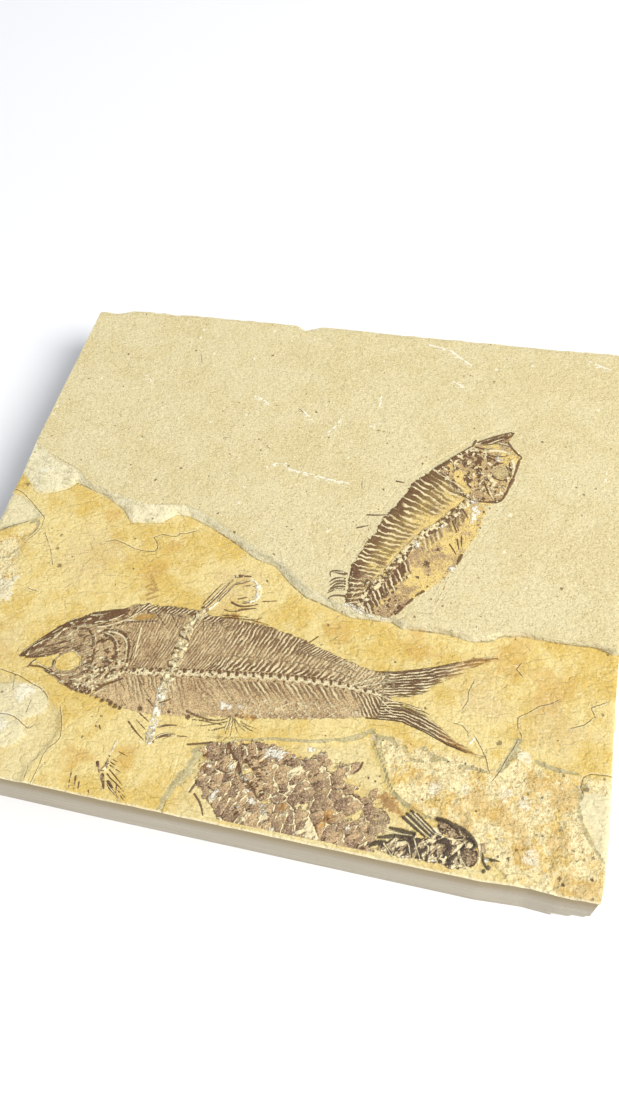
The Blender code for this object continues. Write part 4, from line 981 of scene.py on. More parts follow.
# Drawn lines: half a width in millimetres, and the corners of each
HEAD_DARK = {
    0.20: [
        [(-54.2, -40.5), (-53.1, -38.3), (-50.4, -35.0), (-47.5, -31.6), (-45.0, -29.9)],
        [(-40.8, -31.4), (-39.4, -32.6), (-38.5, -34.0), (-38.1, -35.6)],
        [(-53.2, -39.2), (-51.6, -37.2), (-50.0, -35.9)],
        [(-52.6, -40.6), (-50.6, -40.3), (-48.4, -39.6), (-46.4, -38.7), (-45.2, -37.8)],
        [(-44.6, -37.0), (-43.4, -36.6), (-42.0, -36.5), (-41.2, -37.0)],
        [(-51.2, -42.8), (-50.7, -41.4), (-50.0, -40.7)],
        [(-50.8, -42.4), (-48.2, -42.2), (-46.0, -42.7), (-43.8, -43.2), (-42.4, -43.7)],
        [(-46.8, -43.0), (-45.0, -43.4), (-43.2, -44.0), (-41.8, -44.9)],
        [(-38.6, -30.0), (-36.2, -29.6), (-34.6, -29.0)],
        [(-31.4, -27.8), (-28.2, -27.2), (-25.3, -26.6)],
        [(-49.0, -34.2), (-47.2, -33.0), (-45.6, -31.6)],
        [(-45.4, -31.0), (-43.0, -29.6), (-40.8, -28.4)],
        [(-39.4, -43.0), (-37.8, -41.6), (-36.6, -41.0)],
        [(-40.6, -43.6), (-38.8, -42.6), (-37.9, -41.8)],
        [(-49.4, -37.6), (-46.4, -36.0), (-43.6, -34.9)], [(-47.0, -38.2), (-44.0, -36.4)],
        [(-37.5, -36.0), (-36.9, -38.5), (-37.2, -40.6)],
        [(-29.0, -32.6), (-28.4, -35.4), (-28.2, -38.4)],
    ],
    0.30: [
        [(-44.1, -31.8), (-42.2, -31.5), (-40.4, -31.3)],
        [(-53.9, -40.4), (-52.2, -40.1), (-50.8, -39.5)],
        [(-36.4, -32.1), (-34.6, -32.5), (-33.3, -33.6), (-32.6, -35.2), (-31.9, -36.6)],
        [(-36.8, -31.0), (-34.5, -30.5), (-32.2, -30.9), (-30.5, -32.3), (-29.5, -34.6), (-28.9, -38.6)],
        [(-33.6, -45.3), (-32.4, -43.9), (-31.0, -43.0), (-29.6, -42.3), (-28.6, -41.5)],
        [(-41.0, -27.3), (-38.6, -26.6), (-36.0, -25.5), (-33.8, -25.3)],
        [(-32.3, -28.0), (-31.6, -25.8), (-30.9, -23.5)],
        [(-30.4, -25.2), (-29.4, -23.8), (-28.6, -22.9)],
        [(-28.2, -24.8), (-27.2, -23.6), (-26.6, -22.6)],
    ],
    0.50: [
        [(-46.2, -31.0), (-43.0, -29.2), (-40.2, -28.6), (-37.0, -28.3)],
        [(-37.6, -27.4), (-34.9, -26.1), (-32.8, -25.2)],
        [(-44.0, -30.6), (-41.0, -30.0), (-38.6, -29.3)],
        [(-52.8, -39.6), (-50.8, -37.9), (-49.2, -36.5)],
    ],
}
HEAD_PALE = {
    0.15: [
        [(-36.6, -31.6), (-34.4, -32.0), (-32.9, -33.3), (-32.1, -35.0), (-31.3, -36.8)],
        [(-51.9, -37.9), (-50.4, -36.4), (-48.6, -35.0)],
        [(-48.8, -33.8), (-47.8, -32.9), (-47.2, -32.0)],
        [(-50.6, -41.7), (-49.9, -41.0), (-49.0, -41.5)],
        [(-42.6, -37.1), (-41.2, -37.6), (-39.9, -38.9)],
        [(-43.9, -43.4), (-42.4, -43.3), (-40.9, -42.9), (-40.2, -42.2)],
        [(-39.6, -39.6), (-39.2, -41.0)], [(-40.4, -44.0), (-38.9, -43.5), (-37.9, -44.0)],
        [(-33.8, -46.2), (-32.2, -44.7), (-30.6, -44.1)],
        [(-41.6, -27.9), (-39.6, -27.6), (-37.6, -26.9)],
        [(-36.6, -28.4), (-35.0, -27.6), (-33.6, -26.4)],
        [(-39.8, -29.6), (-38.4, -28.9), (-36.8, -28.8)],
        [(-47.9, -35.0), (-46.9, -33.4), (-46.4, -32.3)],
        [(-38.9, -32.2), (-38.0, -33.6), (-37.6, -35.4)],
        [(-53.8, -39.3), (-52.3, -37.4), (-50.0, -34.9)],
        [(-49.4, -41.7), (-47.4, -42.1), (-45.6, -42.9)],
        [(-38.4, -43.4), (-37.0, -42.5), (-36.2, -42.3)], [(-31.6, -24.6), (-30.9, -23.4)],
        [(-29.6, -24.4), (-28.9, -23.2)], [(-45.6, -29.9), (-44.4, -28.9)],
    ],
    0.22: [
        [(-35.8, -31.2), (-33.9, -31.1), (-31.7, -31.9), (-30.5, -33.4), (-30.0, -35.4), (-29.6, -37.0)],
        [(-38.8, -30.5), (-36.6, -29.9), (-34.6, -28.7), (-32.5, -27.4), (-31.4, -26.2), (-29.9, -24.7)],
        [(-28.6, -29.0), (-28.2, -33.0), (-27.6, -37.0)],
        [(-33.9, -28.2), (-32.0, -27.4), (-29.8, -27.3)],
    ],
}
# Dark spots: the middle and the radius of each
SPOTS = [
    (-34.3, -38.3, 0.60), (-33.4, -39.7, 0.55), (-32.6, -38.6, 0.45), (-31.6, -39.9, 0.40),
    (-45.7, -40.7, 0.60), (-41.6, -36.9, 0.30), (-32.9, -46.9, 0.40), (-31.4, -47.3, 0.45),
    (-30.1, -47.1, 0.40), (-29.3, -47.7, 0.50), (-28.1, -48.1, 0.50), (-26.9, -48.3, 0.40),
    (-22.4, -47.5, 0.60), (-37.0, -38.4, 0.25), (-36.2, -40.6, 0.30), (-38.2, -41.8, 0.25),
    (-16.0, -47.2, 0.40), (-11.6, -47.4, 0.50), (-1.2, -45.0, 0.35), (0.0, -45.2, 0.40),
    (9.0, -25.9, 0.5),
]
FIN_DARK = {
    0.14: [
        [(-2.5, -45.4), (-3.5, -46.5), (-6.0, -47.2), (-9.2, -47.6)],
        [(-3.8, -47.7), (-7.8, -47.6), (-12.0, -47.8)], [(-2.8, -46.8), (-7.3, -48.6), (-9.4, -49.0)],
        [(-2.4, -45.6), (-2.4, -48.1), (-2.7, -50.2)], [(-2.0, -45.5), (-1.5, -47.9), (-1.4, -49.9)],
        [(-1.4, -45.9), (0.1, -47.4), (2.1, -48.4)], [(-1.7, -45.8), (-0.6, -48.0), (0.6, -49.3)],
        [(-0.1, -46.2), (1.7, -46.9), (3.7, -47.2)], [(-2.9, -48.0), (-5.2, -49.2), (-6.6, -49.4)],
        [(0.4, -46.9), (2.4, -47.7), (4.4, -48.0)],
    ],
    0.18: [
        [(11.6, -24.0), (9.4, -26.4), (7.6, -28.7)],
        [(-11.3, -23.3), (-8.0, -22.8), (-3.4, -22.6), (0.4, -23.2)],
        [(-11.0, -22.6), (-8.0, -22.1), (-5.0, -22.1)], [(-6.0, -23.5), (-2.0, -24.0), (1.6, -23.8)],
        [(-26.8, -24.2), (-24.8, -26.0), (-23.4, -27.4)],
        [(-23.2, -24.0), (-21.4, -25.8), (-20.2, -27.6)],
        [(-15.0, -24.6), (-14.2, -27.0), (-13.4, -29.4)], [(-12.6, -24.2), (-12.2, -26.4)],
    ],
    0.12: [
        [(-27.5, -42.1), (-24.0, -44.8)], [(-26.5, -41.6), (-24.5, -43.1)],
        [(-23.7, -42.5), (-19.7, -46.2)], [(-27.4, -46.3), (-25.2, -47.8)],
        [(-11.9, -23.5), (-9.3, -22.8), (-6.5, -22.0)], [(-5.4, -22.7), (-2.3, -22.0)],
        [(-25.4, -40.6), (-22.6, -43.6)], [(-29.6, -41.8), (-27.0, -44.2)],
    ],
    0.26: [[(-12.2, -46.2), (-9.6, -46.9), (-6.4, -47.2), (-3.8, -46.6)]],
}
FIN_FAINT = {
    0.16: [
        [(14.4, -24.7), (15.5, -23.6), (16.6, -22.4), (16.3, -20.9), (15.2, -21.6)],
        [(14.5, -24.3), (16.4, -23.9)], [(14.7, -25.0), (16.9, -24.8)], [(-25.4, -20.8), (-22.6, -19.6)],
    ],
}
FAN_PALE = {
    0.16: [
        [(21.1, -34.0), (23.2, -32.7), (28.3, -30.2)], [(22.5, -34.2), (25.4, -32.9), (29.4, -31.6)],
        [(26.6, -34.9), (28.2, -35.3), (31.6, -36.0)], [(27.0, -35.4), (28.6, -36.5), (30.4, -37.9)],
        [(29.2, -38.0), (31.6, -38.9)], [(-2.7, -46.9), (-2.9, -48.8)], [(-1.9, -47.0), (-1.9, -49.0)],
    ],
}
# A dark band behind the head, and the middle and radius of amber and chalk spots at the pelvic fin
DARK_BAND = {1.1: [[(-27.6, -38.6), (-24.6, -36.4), (-21.0, -32.6)]]}
LARGE_AMBER = [(-0.4, -44.8, 0.8), (1.0, -45.0, 0.7), (2.4, -45.0, 0.5)]
LARGE_CHALK = [(-4.6, -43.5, 0.9), (-3.2, -43.3, 0.8), (-1.3, -42.9, 0.5), (-0.2, -43.0, 0.3)]
LARGE_COLUMNS = 560
LARGE_ROWS = 150


def chance(index, seed):
    """A random number from 0 to 1 for each whole number."""
    return np.random.default_rng(seed).random(512)[index.astype(int) % 512]


def window(value, start, stop, soft):
    """One between a start and a stop, zero outside, eased over a soft width inside both ends."""
    return ease((value - start) / soft) * ease((stop - value) / soft)


def lobe(x, y, outer, inner, seed):
    """A tail lobe between its outer margin and its ragged inner edge, where its rays end one by one. Gives
    the cover of its film, where its rays run, and the count of rays from the margin."""
    margin = line_at(outer, x)
    depth = line_at(inner, x) - margin
    below = (y - margin) * np.sign(depth)
    count = below / (0.60 + 0.010 * (x - 27.0))
    ragged = 1.3 * (chance(np.floor(count + 0.5), seed) - 0.5)
    within = ease(below / 0.25 + 0.6) * ease((np.abs(depth) + ragged - below) / 0.25) * ease((x - 26.5) / 1.5)
    film = within * ease((np.abs(depth) - 1.2 - below) / 1.0 + 0.5)
    return film, within, count


def backbone(off, along, rough):
    """Cover of pale and dark bone in a backbone: pale beads, a little wider at their joints, with a dark bar
    across the upper half of each joint. Off is the distance from the middle over the half height, along
    counts the vertebrae, and rough adds noise."""
    open_end = 2.0 * np.abs(along - np.floor(along) - 0.5)
    pale = clamp(0.5 + 3.0 * (0.50 + 0.36 * open_end - np.abs(off)) + 1.3 * rough)
    joint = ease((open_end - 0.58 - 0.35 * rough) / 0.16) * ease((off + 0.25 + 0.6 * rough) / 0.3)
    joint = joint * ease((1.05 - off) / 0.25) * 0.95
    inner = ease((1.06 - np.abs(off)) / 0.15)
    hollows = ease((0.40 - open_end + 0.4 * rough) / 0.2) * ease((np.abs(off) - 0.45) / 0.2) * 0.7
    return pale * (1.0 - joint) * inner, np.maximum(joint, hollows) * inner


def large_fish_marks(x, y):
    """What shows on the large fish at a point, each from 0 to 1: skin and its tone, dark bone, pale bone,
    amber, chalk, a net of scales, and where spines, ribs and rays run. These follow a stored count, in which
    each whole number is one: above the backbone along x = x0 + lean * h ** 0.55, below it along straight
    lines that slope back. Gives the marks and the relief in millimetres."""
    spine = line_at(LARGE_SPINE, x)
    back = line_at(LARGE_BACK, x)
    belly = line_at(LARGE_BELLY, x)
    h = np.clip((y - spine) / (back - spine), 0.0, 1.3)
    g = np.clip((spine - y) / (spine - belly), 0.0, 1.3)
    speckle = layered(x, y, 0.7, 101, 3)
    patchy = layered(x, y, 3.0, 105, 3)

    scallop = 0.22 * np.abs(np.sin(x * 2.2)) * ease((x + 1.0) / 2.0) * ease((17.0 - x) / 3.0)
    rim = np.minimum(back - y, y - belly + scallop)
    past_head = x - np.interp(y, *np.array(NAPE).T)
    body = ease((rim + 0.22 * speckle) / 0.3) * ease(past_head / 0.5) * ease((31.0 - x) / 2.0)
    wedge = cover_of(x, y, OCHRE_WEDGE, 0.25)
    body = body * (1.0 - 0.9 * wedge)
    eye_x, eye_y, long_radius, short_radius, tilt = EYE
    eye_reach = np.hypot((x - eye_x) / long_radius, (y - eye_y - tilt * (x - eye_x)) / short_radius)
    eye = 1.0 - ease((eye_reach - 0.95 + 0.07 * speckle) / 0.12)
    head = cover_of(x, y, HEAD, 0.3, 0.2 * speckle) * (1.0 - eye) * (1.0 - ease(past_head / 0.5))
    skin = np.maximum(body, head)

    # Tone of the skin: 0 is tan, 1 is dark mauve brown
    front = window(x, -30.0, -12.0, 6.0)
    tone = 0.50 + 0.18 * patchy + 0.12 * speckle - 0.25 * front * ease(g / 0.3)
    tone += 0.40 * ease((g - 0.80) / 0.15) * window(x, 0.0, 22.0, 3.0)
    tone -= 0.16 * ease((x - 15.0) / 5.0) * ease(h / 0.4)
    tone += 0.35 * strokes(x, y, DARK_BAND)
    crown = head * (1.0 - ease((back - y - 2.0 - 0.5 * patchy) / 0.8))
    jaw_plate = cover_of(x, y, JAW_PLATE, 0.3)
    tone += 0.35 * crown + 0.55 * jaw_plate + 0.05 * head

    # Spines above the backbone, ribs and lower spines below it, bones of the head, and rays of the tail
    lean = np.interp(x, [-29.0, -20.0, -8.0, 10.0, 20.0, 28.0], [2.5, 4.5, 6.5, 6.0, 5.0, 3.5])
    closer = np.where((h < 0.40 + 0.08 * patchy) & (x > -7.0), 1.5, np.where(x > -9.0, 2.0, 3.0))
    below = np.where(x > -10.0, 1.5, 2.0)
    fall = 0.5 + 0.45 * ease((x + 12.0) / 4.0)
    count = np.where(y > spine, (x - lean * h ** 0.55) * closer, (x - fall * (spine - y)) * below) / VERTEBRA
    by_column = (1.0 - ease((h - 0.15) / 0.25)) * ease((x + 14.0) / 5.0) * (y > spine)
    hump = window(x, -9.0, 13.0, 3.0)
    by_back = ease((h - 0.45) / 0.2) * hump
    under = ease((0.50 - g) / 0.2) * ease((x + 6.0) / 6.0) * (y < spine)
    ribs = window(g, 0.02, 1.0, 0.1) * front
    calm = 0.08 * (1.0 - ease((x + 12.0) / 6.0)) * (y > spine)
    run = 0.64 - calm + 0.3 * by_column + 0.2 * by_back + 0.25 * under + 0.12 * ribs - 0.6 * g
    run = body * clamp(run)
    bristle = ease((h - 0.70) / 0.1) * window(x, 8.0, 21.0, 3.0)
    count = np.where((bristle > 0.0) & (y > spine), (x - 0.95 * y) / 0.75, count)
    hypural = window(x, 23.0, 30.8, 2.0) * (y < spine - 0.3) * ease((y + 40.6) / 0.6)
    count = np.where((hypural > 0.0) & (x > 22.0), (x + 0.72 * (y + 36.0)) / 0.9, count)
    run = np.maximum(run, body * np.maximum(0.9 * bristle, 0.9 * hypural))
    slope_x = 0.55 * x - 0.84 * y
    count = np.where(past_head < 0.0, slope_x / 0.6, count)
    run = np.maximum(run, head * 0.40 * ease((-36.5 - x) / 2.0))
    run = run * (1.0 - 0.9 * crown)
    strip = ease((y - back + 2.2 + 0.5 * speckle) / 0.6) * window(x, -32.0, -9.0, 2.0) * body
    count = np.where(strip > 0.0, (x - 0.75 * (y - back)) / 0.95, count)
    run = np.maximum(run, strip)
    heavy = body * (0.35 * hump * ease((h - 0.35) / 0.6) - 0.40 * by_column - 0.55 * under)

    gritty = head * ease(x + 39.0) * ease((-36.8 - y) / 0.8)
    flow = layered(0.8 * x + 0.6 * y, 2.2 * (0.8 * y - 0.6 * x), 1.3, 181, 3)
    dark = highest(
        strokes(x, y, HEAD_DARK),
        spots(x, y, SPOTS) * (0.9 + 0.3 * speckle),
        gritty * grit(x, y, 0.5, 165, 1.6) * 0.9,
        crown * (0.62 + 0.40 * speckle + 0.2 * patchy),
        jaw_plate * (0.48 + 0.4 * speckle),
        strip * (0.46 + 0.40 * speckle),
        head * (0.24 + 0.50 * flow),
    )
    pale = highest(
        strokes(x, y, HEAD_PALE),
        gritty * grit(x, y, 0.5, 167, 1.6),
        head * (0.10 - 0.55 * flow + 0.25 * speckle),
        ease(1.0 - np.abs(eye_reach - 1.08) / 0.08) * ease(0.6 + 0.9 * speckle) * 0.8,
    )

    half_height = np.interp(x, [-29.0, 0.0, 18.0, 28.0], [1.10, 1.15, 1.00, 0.70])
    off = (y - spine) / half_height
    in_column = ease((1.1 - np.abs(off)) / 0.15) * window(x, -29.8, 28.2, 1.0)
    front_part = 1.0 - ease((x + 12.0) / 6.0)
    rough = layered(x, y, 0.7, 151, 2) * (0.55 + 0.45 * front_part)
    slant = 0.12 * off * (1.0 - front_part) + 0.25 * np.sign(off) * front_part
    column_pale, column_dark = backbone(off, x / VERTEBRA + slant, rough)
    pale = np.where(in_column > 0.4, 0.66 * column_pale, pale)
    dark = np.where(in_column > 0.4, column_dark, dark)
    run = run * (1.0 - in_column)

    # Fins and tail
    dark = highest(dark, 0.75 * strokes(x, y, FIN_DARK), 0.50 * strokes(x, y, FIN_FAINT))
    upper_film, upper_rays, upper_count = lobe(x, y, UPPER_LOBE_TOP, UPPER_LOBE_LOW, 171)
    lower_film, lower_rays, lower_count = lobe(x, y, LOWER_LOBE_LOW, LOWER_LOBE_TOP, 175)
    tail = np.maximum(upper_film, lower_film)
    in_tail = (np.maximum(upper_rays, lower_rays) > 0.0) & (x > 28.0)
    count = np.where(in_tail, np.where(y > -35.1, upper_count, lower_count), count)
    tip = ease((x - 37.0) / 6.0)
    rays = np.maximum(upper_rays, lower_rays) * ease((x - 27.0) / 1.5)
    run = np.maximum(run, rays * (1.0 - 0.35 * tip))
    heavy = np.maximum(heavy, 0.12 * rays * (1.0 - 0.6 * tip))
    skin = np.maximum(skin, tail)
    tone = tone + (0.45 - 0.2 * patchy) * tail * (1.0 - tip)
    dark = np.maximum(dark, tail * (0.38 + 0.40 * speckle) * (1.0 - tip))
    for margin, margin_end in ((UPPER_LOBE_TOP, 43.0), (LOWER_LOBE_LOW, 47.5)):
        by_margin = ease(1.0 - np.abs(y - line_at(margin, x)) / 0.3)
        dark = np.maximum(dark, by_margin * window(x, 25.0, margin_end, 1.0))
    pale = np.maximum(pale, strokes(x, y, FAN_PALE))
    tone = tone + 0.35 * wedge
    dorsal = ease((y - back + 0.3) / 0.4) * ease((back + 1.3 - y + 0.6 * speckle) / 0.5)
    amber = highest(
        np.maximum(upper_rays, lower_rays) * tip * (0.62 + 0.5 * patchy),
        wedge * 0.62,
        dorsal * window(x, -11.4, -0.6, 1.0) * ease(0.4 + 1.2 * patchy + speckle),
        spots(x, y, LARGE_AMBER) * 1.1,
    )
    chalk = spots(x, y, LARGE_CHALK) * (0.8 + 0.9 * speckle)
    net = body * ease((g - 0.45) / 0.15) * window(x, -4.0, 27.0, 4.0)
    net = net + body * ease(h / 0.2) * ease((x - 16.0) / 3.0)

    relief = 0.03 + 0.07 * skin * (1.0 + 0.3 * patchy) + 0.08 * clamp(pale)
    relief += 0.07 * clamp(dark) + 0.12 * in_column * dome(off)
    relief += 0.16 * crown * ease((back - y) / 0.8) + 0.10 * jaw_plate + 0.05 * chalk + 0.05 * tail
    marks = dict(skin=skin, tone=tone, dark=dark, pale=pale, amber=amber, chalk=chalk,
                 net=net, run=run, heavy=heavy)
    return marks, relief, {"count": count}


# A fossil's relief fades out over the reach at its bed's edge. The very edge dips by the dip's depth, over a
# strip as wide, and the flat underside lies the film's depth below the lowest point of the split face.
RIM_REACH = 0.8
RIM_DIP = 0.30
FILM_DEPTH = 0.55
# Colours that all fossils share
PALE_SCALE = (230, 206, 156)
CREAM_SCALE = (222, 198, 150)
CLEAR_AMBER = (214, 164, 84)
DEEP_AMBER = (146, 98, 44)
PALE_BONE = (228, 206, 150)
WHITE_BONE = (250, 238, 198)
CHALK_WHITE = (247, 240, 219)
RUST = (122, 79, 38)


def open_at_seam(outline):
    """The outline of a bed with its edge on the seam between scales and spiny bones moved 3 mm outwards."""
    side = math.copysign(3.0, SEAM_X - np.mean(outline, axis=0)[0])
    return [(x + side, y) if abs(x - SEAM_X) < 0.1 and y < -50.0 else (x, y) for x, y in outline]


def fossil_piece(name, bed, columns, rows, marks_of):
    """A fossil with the skin of stone round it: a grid over its bed at the height of the split face plus the
    fossil's relief. Its rim dips below the face, and its flat underside lies in the bed's hollow."""
    angle, near, far = bed
    across = np.linspace(near[0][0], near[-1][0], columns)
    t = blend(line_at(near, across), line_at(far, across), np.linspace(0.0, 1.0, rows)[:, None])
    s = np.broadcast_to(across, t.shape)
    x, y = turned(s, t, -angle)
    height, masks = stone_face(x, y)
    marks, relief, counts = marks_of(x, y)
    rim = inside(x, y, open_at_seam(bed_outline(bed)))
    z = height + relief * ease(rim / RIM_REACH) - RIM_DIP * ease(1.0 - rim / RIM_DIP)
    masks.update({mark: cover * ease(rim / 0.25) for mark, cover in marks.items()})
    masks.update(counts)
    underside = np.full(2 * (rows + columns) - 4, height.min() - FILM_DEPTH)
    return made_piece(name, [block_parts(x, y, z, [(rim_of(x), rim_of(y), underside)], masks)])


def fossil_finish(name, tan, mauve, bone, roughness, rust=RUST):
    """The finish of a fossil: the stone's own colour, then the film of skin between tan and mauve, glassy
    amber bone, dark bone between the colours bone and rust, pale bone and chalk, each with a ragged edge
    from fine noise. Spines and rays are noise drawn out along them, with a beat at each whole number of
    the stored count: pale on the beat and dark between, more dark where the bone is heavy."""
    finish = Finish(name, roughness)
    colour, relief = rock(finish)
    fine = finish.noise(0.28)
    grain = finish.noise(0.6, 4.0)
    ragged = fine - 0.5
    run = finish.mask("run")
    count = finish.mask("count") + (finish.noise(3.2, 2.0) - 0.5) * 1.3 + (finish.noise(0.9) - 0.5) * 0.5
    place_x = finish.node("ShaderNodeSeparateXYZ", {}, {0: finish.place}, 0)
    place_y = finish.node("ShaderNodeSeparateXYZ", {}, {0: finish.place}, 1)
    strand = finish.node("ShaderNodeCombineXYZ", {}, {0: count * 1.9, 1: (place_x + place_y) * 0.30})
    strand = finish.node("ShaderNodeTexNoise", {}, {"Vector": strand, "Scale": 1.0, "Detail": 3.0})
    beat = finish.math("COSINE", count * math.tau, 0.0) * 0.5 + (strand - 0.5) * 3.2
    heavy = finish.mask("heavy")
    pale_line = finish.between(beat + run * 0.5 - heavy * 0.35, 0.61, 0.77) * run
    dark_line = finish.between(heavy * 0.55 + run * 0.56 - beat, 0.51, 0.69) * run

    tone = finish.between(finish.mask("tone") + (grain - 0.5) * 1.5, 0.0, 1.0)
    skin = finish.between(finish.mask("skin") + ragged * 0.6, 0.35, 0.6)
    film = finish.coated(finish.mix(tone, tan, mauve), [
        (finish.between(fine, 0.50, 0.66) * 0.58, bone),
        (finish.between(1.0 - fine, 0.50, 0.68) * 0.55, PALE_SCALE),
        (finish.between(grain, 0.54, 0.68) * 0.55, CREAM_SCALE),
    ])
    amber = finish.between(finish.mask("amber") + ragged * 0.8, 0.38, 0.62)
    scale_place = finish.vector("MULTIPLY", finish.place, {1: (0.62, 0.75, 0.1)})
    scale_sockets = {"Vector": scale_place, "Scale": 1.0}
    scale = finish.node("ShaderNodeTexVoronoi", {"feature": "DISTANCE_TO_EDGE"}, scale_sockets)
    edge = 1.0 - finish.between(scale + ragged * 0.15, 0.06, 0.16)
    net = edge * finish.mask("net") * finish.between(grain, 0.35, 0.6)
    dark = finish.between(finish.mask("dark") + ragged * 0.8, 0.30, 0.68)
    dark = finish.math("MAXIMUM", dark, dark_line)
    pale = finish.between(finish.mask("pale") + ragged * 0.8, 0.34, 0.68)
    pale = finish.math("MAXIMUM", pale, finish.math("MAXIMUM", pale_line, net * 0.6))
    chalk = finish.between(finish.mask("chalk") + ragged * 1.2, 0.45, 0.66)
    colour = finish.coated(colour, [
        (skin * 0.94, film),
        (amber * 0.8, finish.mix(tone, CLEAR_AMBER, DEEP_AMBER)),
        (dark * 0.90, finish.mix(grain, bone, rust)),
        (pale * 0.92, finish.mix(grain, PALE_BONE, WHITE_BONE)),
        (chalk * 0.85, CHALK_WHITE),
    ])
    relief = relief + skin * 0.25 + dark * 0.9 + pale * 1.0 + chalk * 0.7 + fine * skin * 0.5
    return finish.finish(colour, relief, RELIEF_DEPTH)


fish = fossil_piece("large_fish_film", LARGE_FISH_BED, LARGE_COLUMNS, LARGE_ROWS, large_fish_marks)
brown_finish = fossil_finish("brown_bone", tan=(218, 188, 138), mauve=(156, 120, 84), bone=(62, 40, 24),
                             roughness=0.65)
fish.data.materials.append(brown_finish)
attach(fish, "root")
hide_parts("large_fish")

# The upper fish
# A smaller fish on the upper bed, without its tail: yellow glassy film between brown ribs, a grey crumbled
# backbone, a deep skull with a round eye socket, and small fins. Its frame runs from the tail to the head.
# Lines and outlines of the fish in its own turned frame, in millimetres
UPPER_BACK = [
    (-5.5, -21.8), (-4.5, -20.6), (-1.1, -18.4), (3.1, -16.2), (8.0, -15.0), (12.1, -14.4), (17.0, -13.3),
    (21.2, -13.1), (25.9, -12.4), (30.6, -12.0), (34.7, -13.2), (36.3, -13.4), (41.5, -14.7),
    (46.2, -15.9), (48.5, -16.6),
]
UPPER_BELLY = [
    (-5.5, -22.0), (-4.4, -26.7), (-2.1, -31.1), (-0.7, -32.0), (3.7, -32.6), (7.5, -33.3), (11.7, -34.3),
    (16.7, -34.6), (21.5, -33.8), (26.9, -33.0), (32.7, -31.2), (34.6, -29.0), (36.4, -31.4),
    (48.5, -29.0),
]
UPPER_SPINE = [
    (-4.9, -25.3), (-3.3, -24.6), (-0.4, -23.7), (5.2, -23.8), (14.0, -23.3), (20.4, -23.6),
    (24.8, -24.8), (33.2, -25.6),
]
UPPER_SKULL = [
    (46.5, -16.2), (48.5, -17.4), (51.1, -20.6), (52.2, -22.7), (51.6, -24.5), (51.2, -27.4),
    (49.7, -27.9), (46.5, -29.3), (44.3, -30.1), (42.3, -30.5), (40.9, -31.1), (38.5, -31.7),
    (37.1, -31.4), (35.4, -29.2), (33.9, -26.6), (33.2, -24.0), (33.4, -20.5), (34.5, -17.0),
    (35.6, -13.4), (38.1, -14.0), (41.6, -14.8),
]
UPPER_BEAK = [
    (48.3, -17.0), (50.4, -18.0), (54.0, -19.6), (55.5, -20.6), (56.2, -21.7), (55.7, -22.0),
    (54.3, -22.3), (52.5, -22.7), (51.2, -20.7), (49.9, -18.9),
]
# The eye socket's middle and radius
UPPER_EYE = (44.5, -26.1, 1.95)
GILL_AMBER = [
    (38.1, -17.6), (39.2, -18.5), (39.0, -19.8), (37.3, -21.2), (36.2, -22.5), (36.0, -24.2),
    (34.8, -24.6), (34.1, -23.4), (34.4, -21.5), (35.1, -19.8), (36.6, -18.4),
]
GILL_DARK = [(39.2, -19.5), (39.0, -21.9), (37.9, -23.2), (36.2, -23.9), (36.4, -22.3), (37.5, -21.1)]
SKULL_DARK = [
    (41.4, -15.0), (46.6, -16.1), (46.9, -18.7), (45.4, -21.1), (42.9, -21.2), (42.4, -23.4),
    (39.4, -23.1), (40.6, -20.6), (40.6, -18.4), (39.6, -17.6), (39.7, -15.6),
]
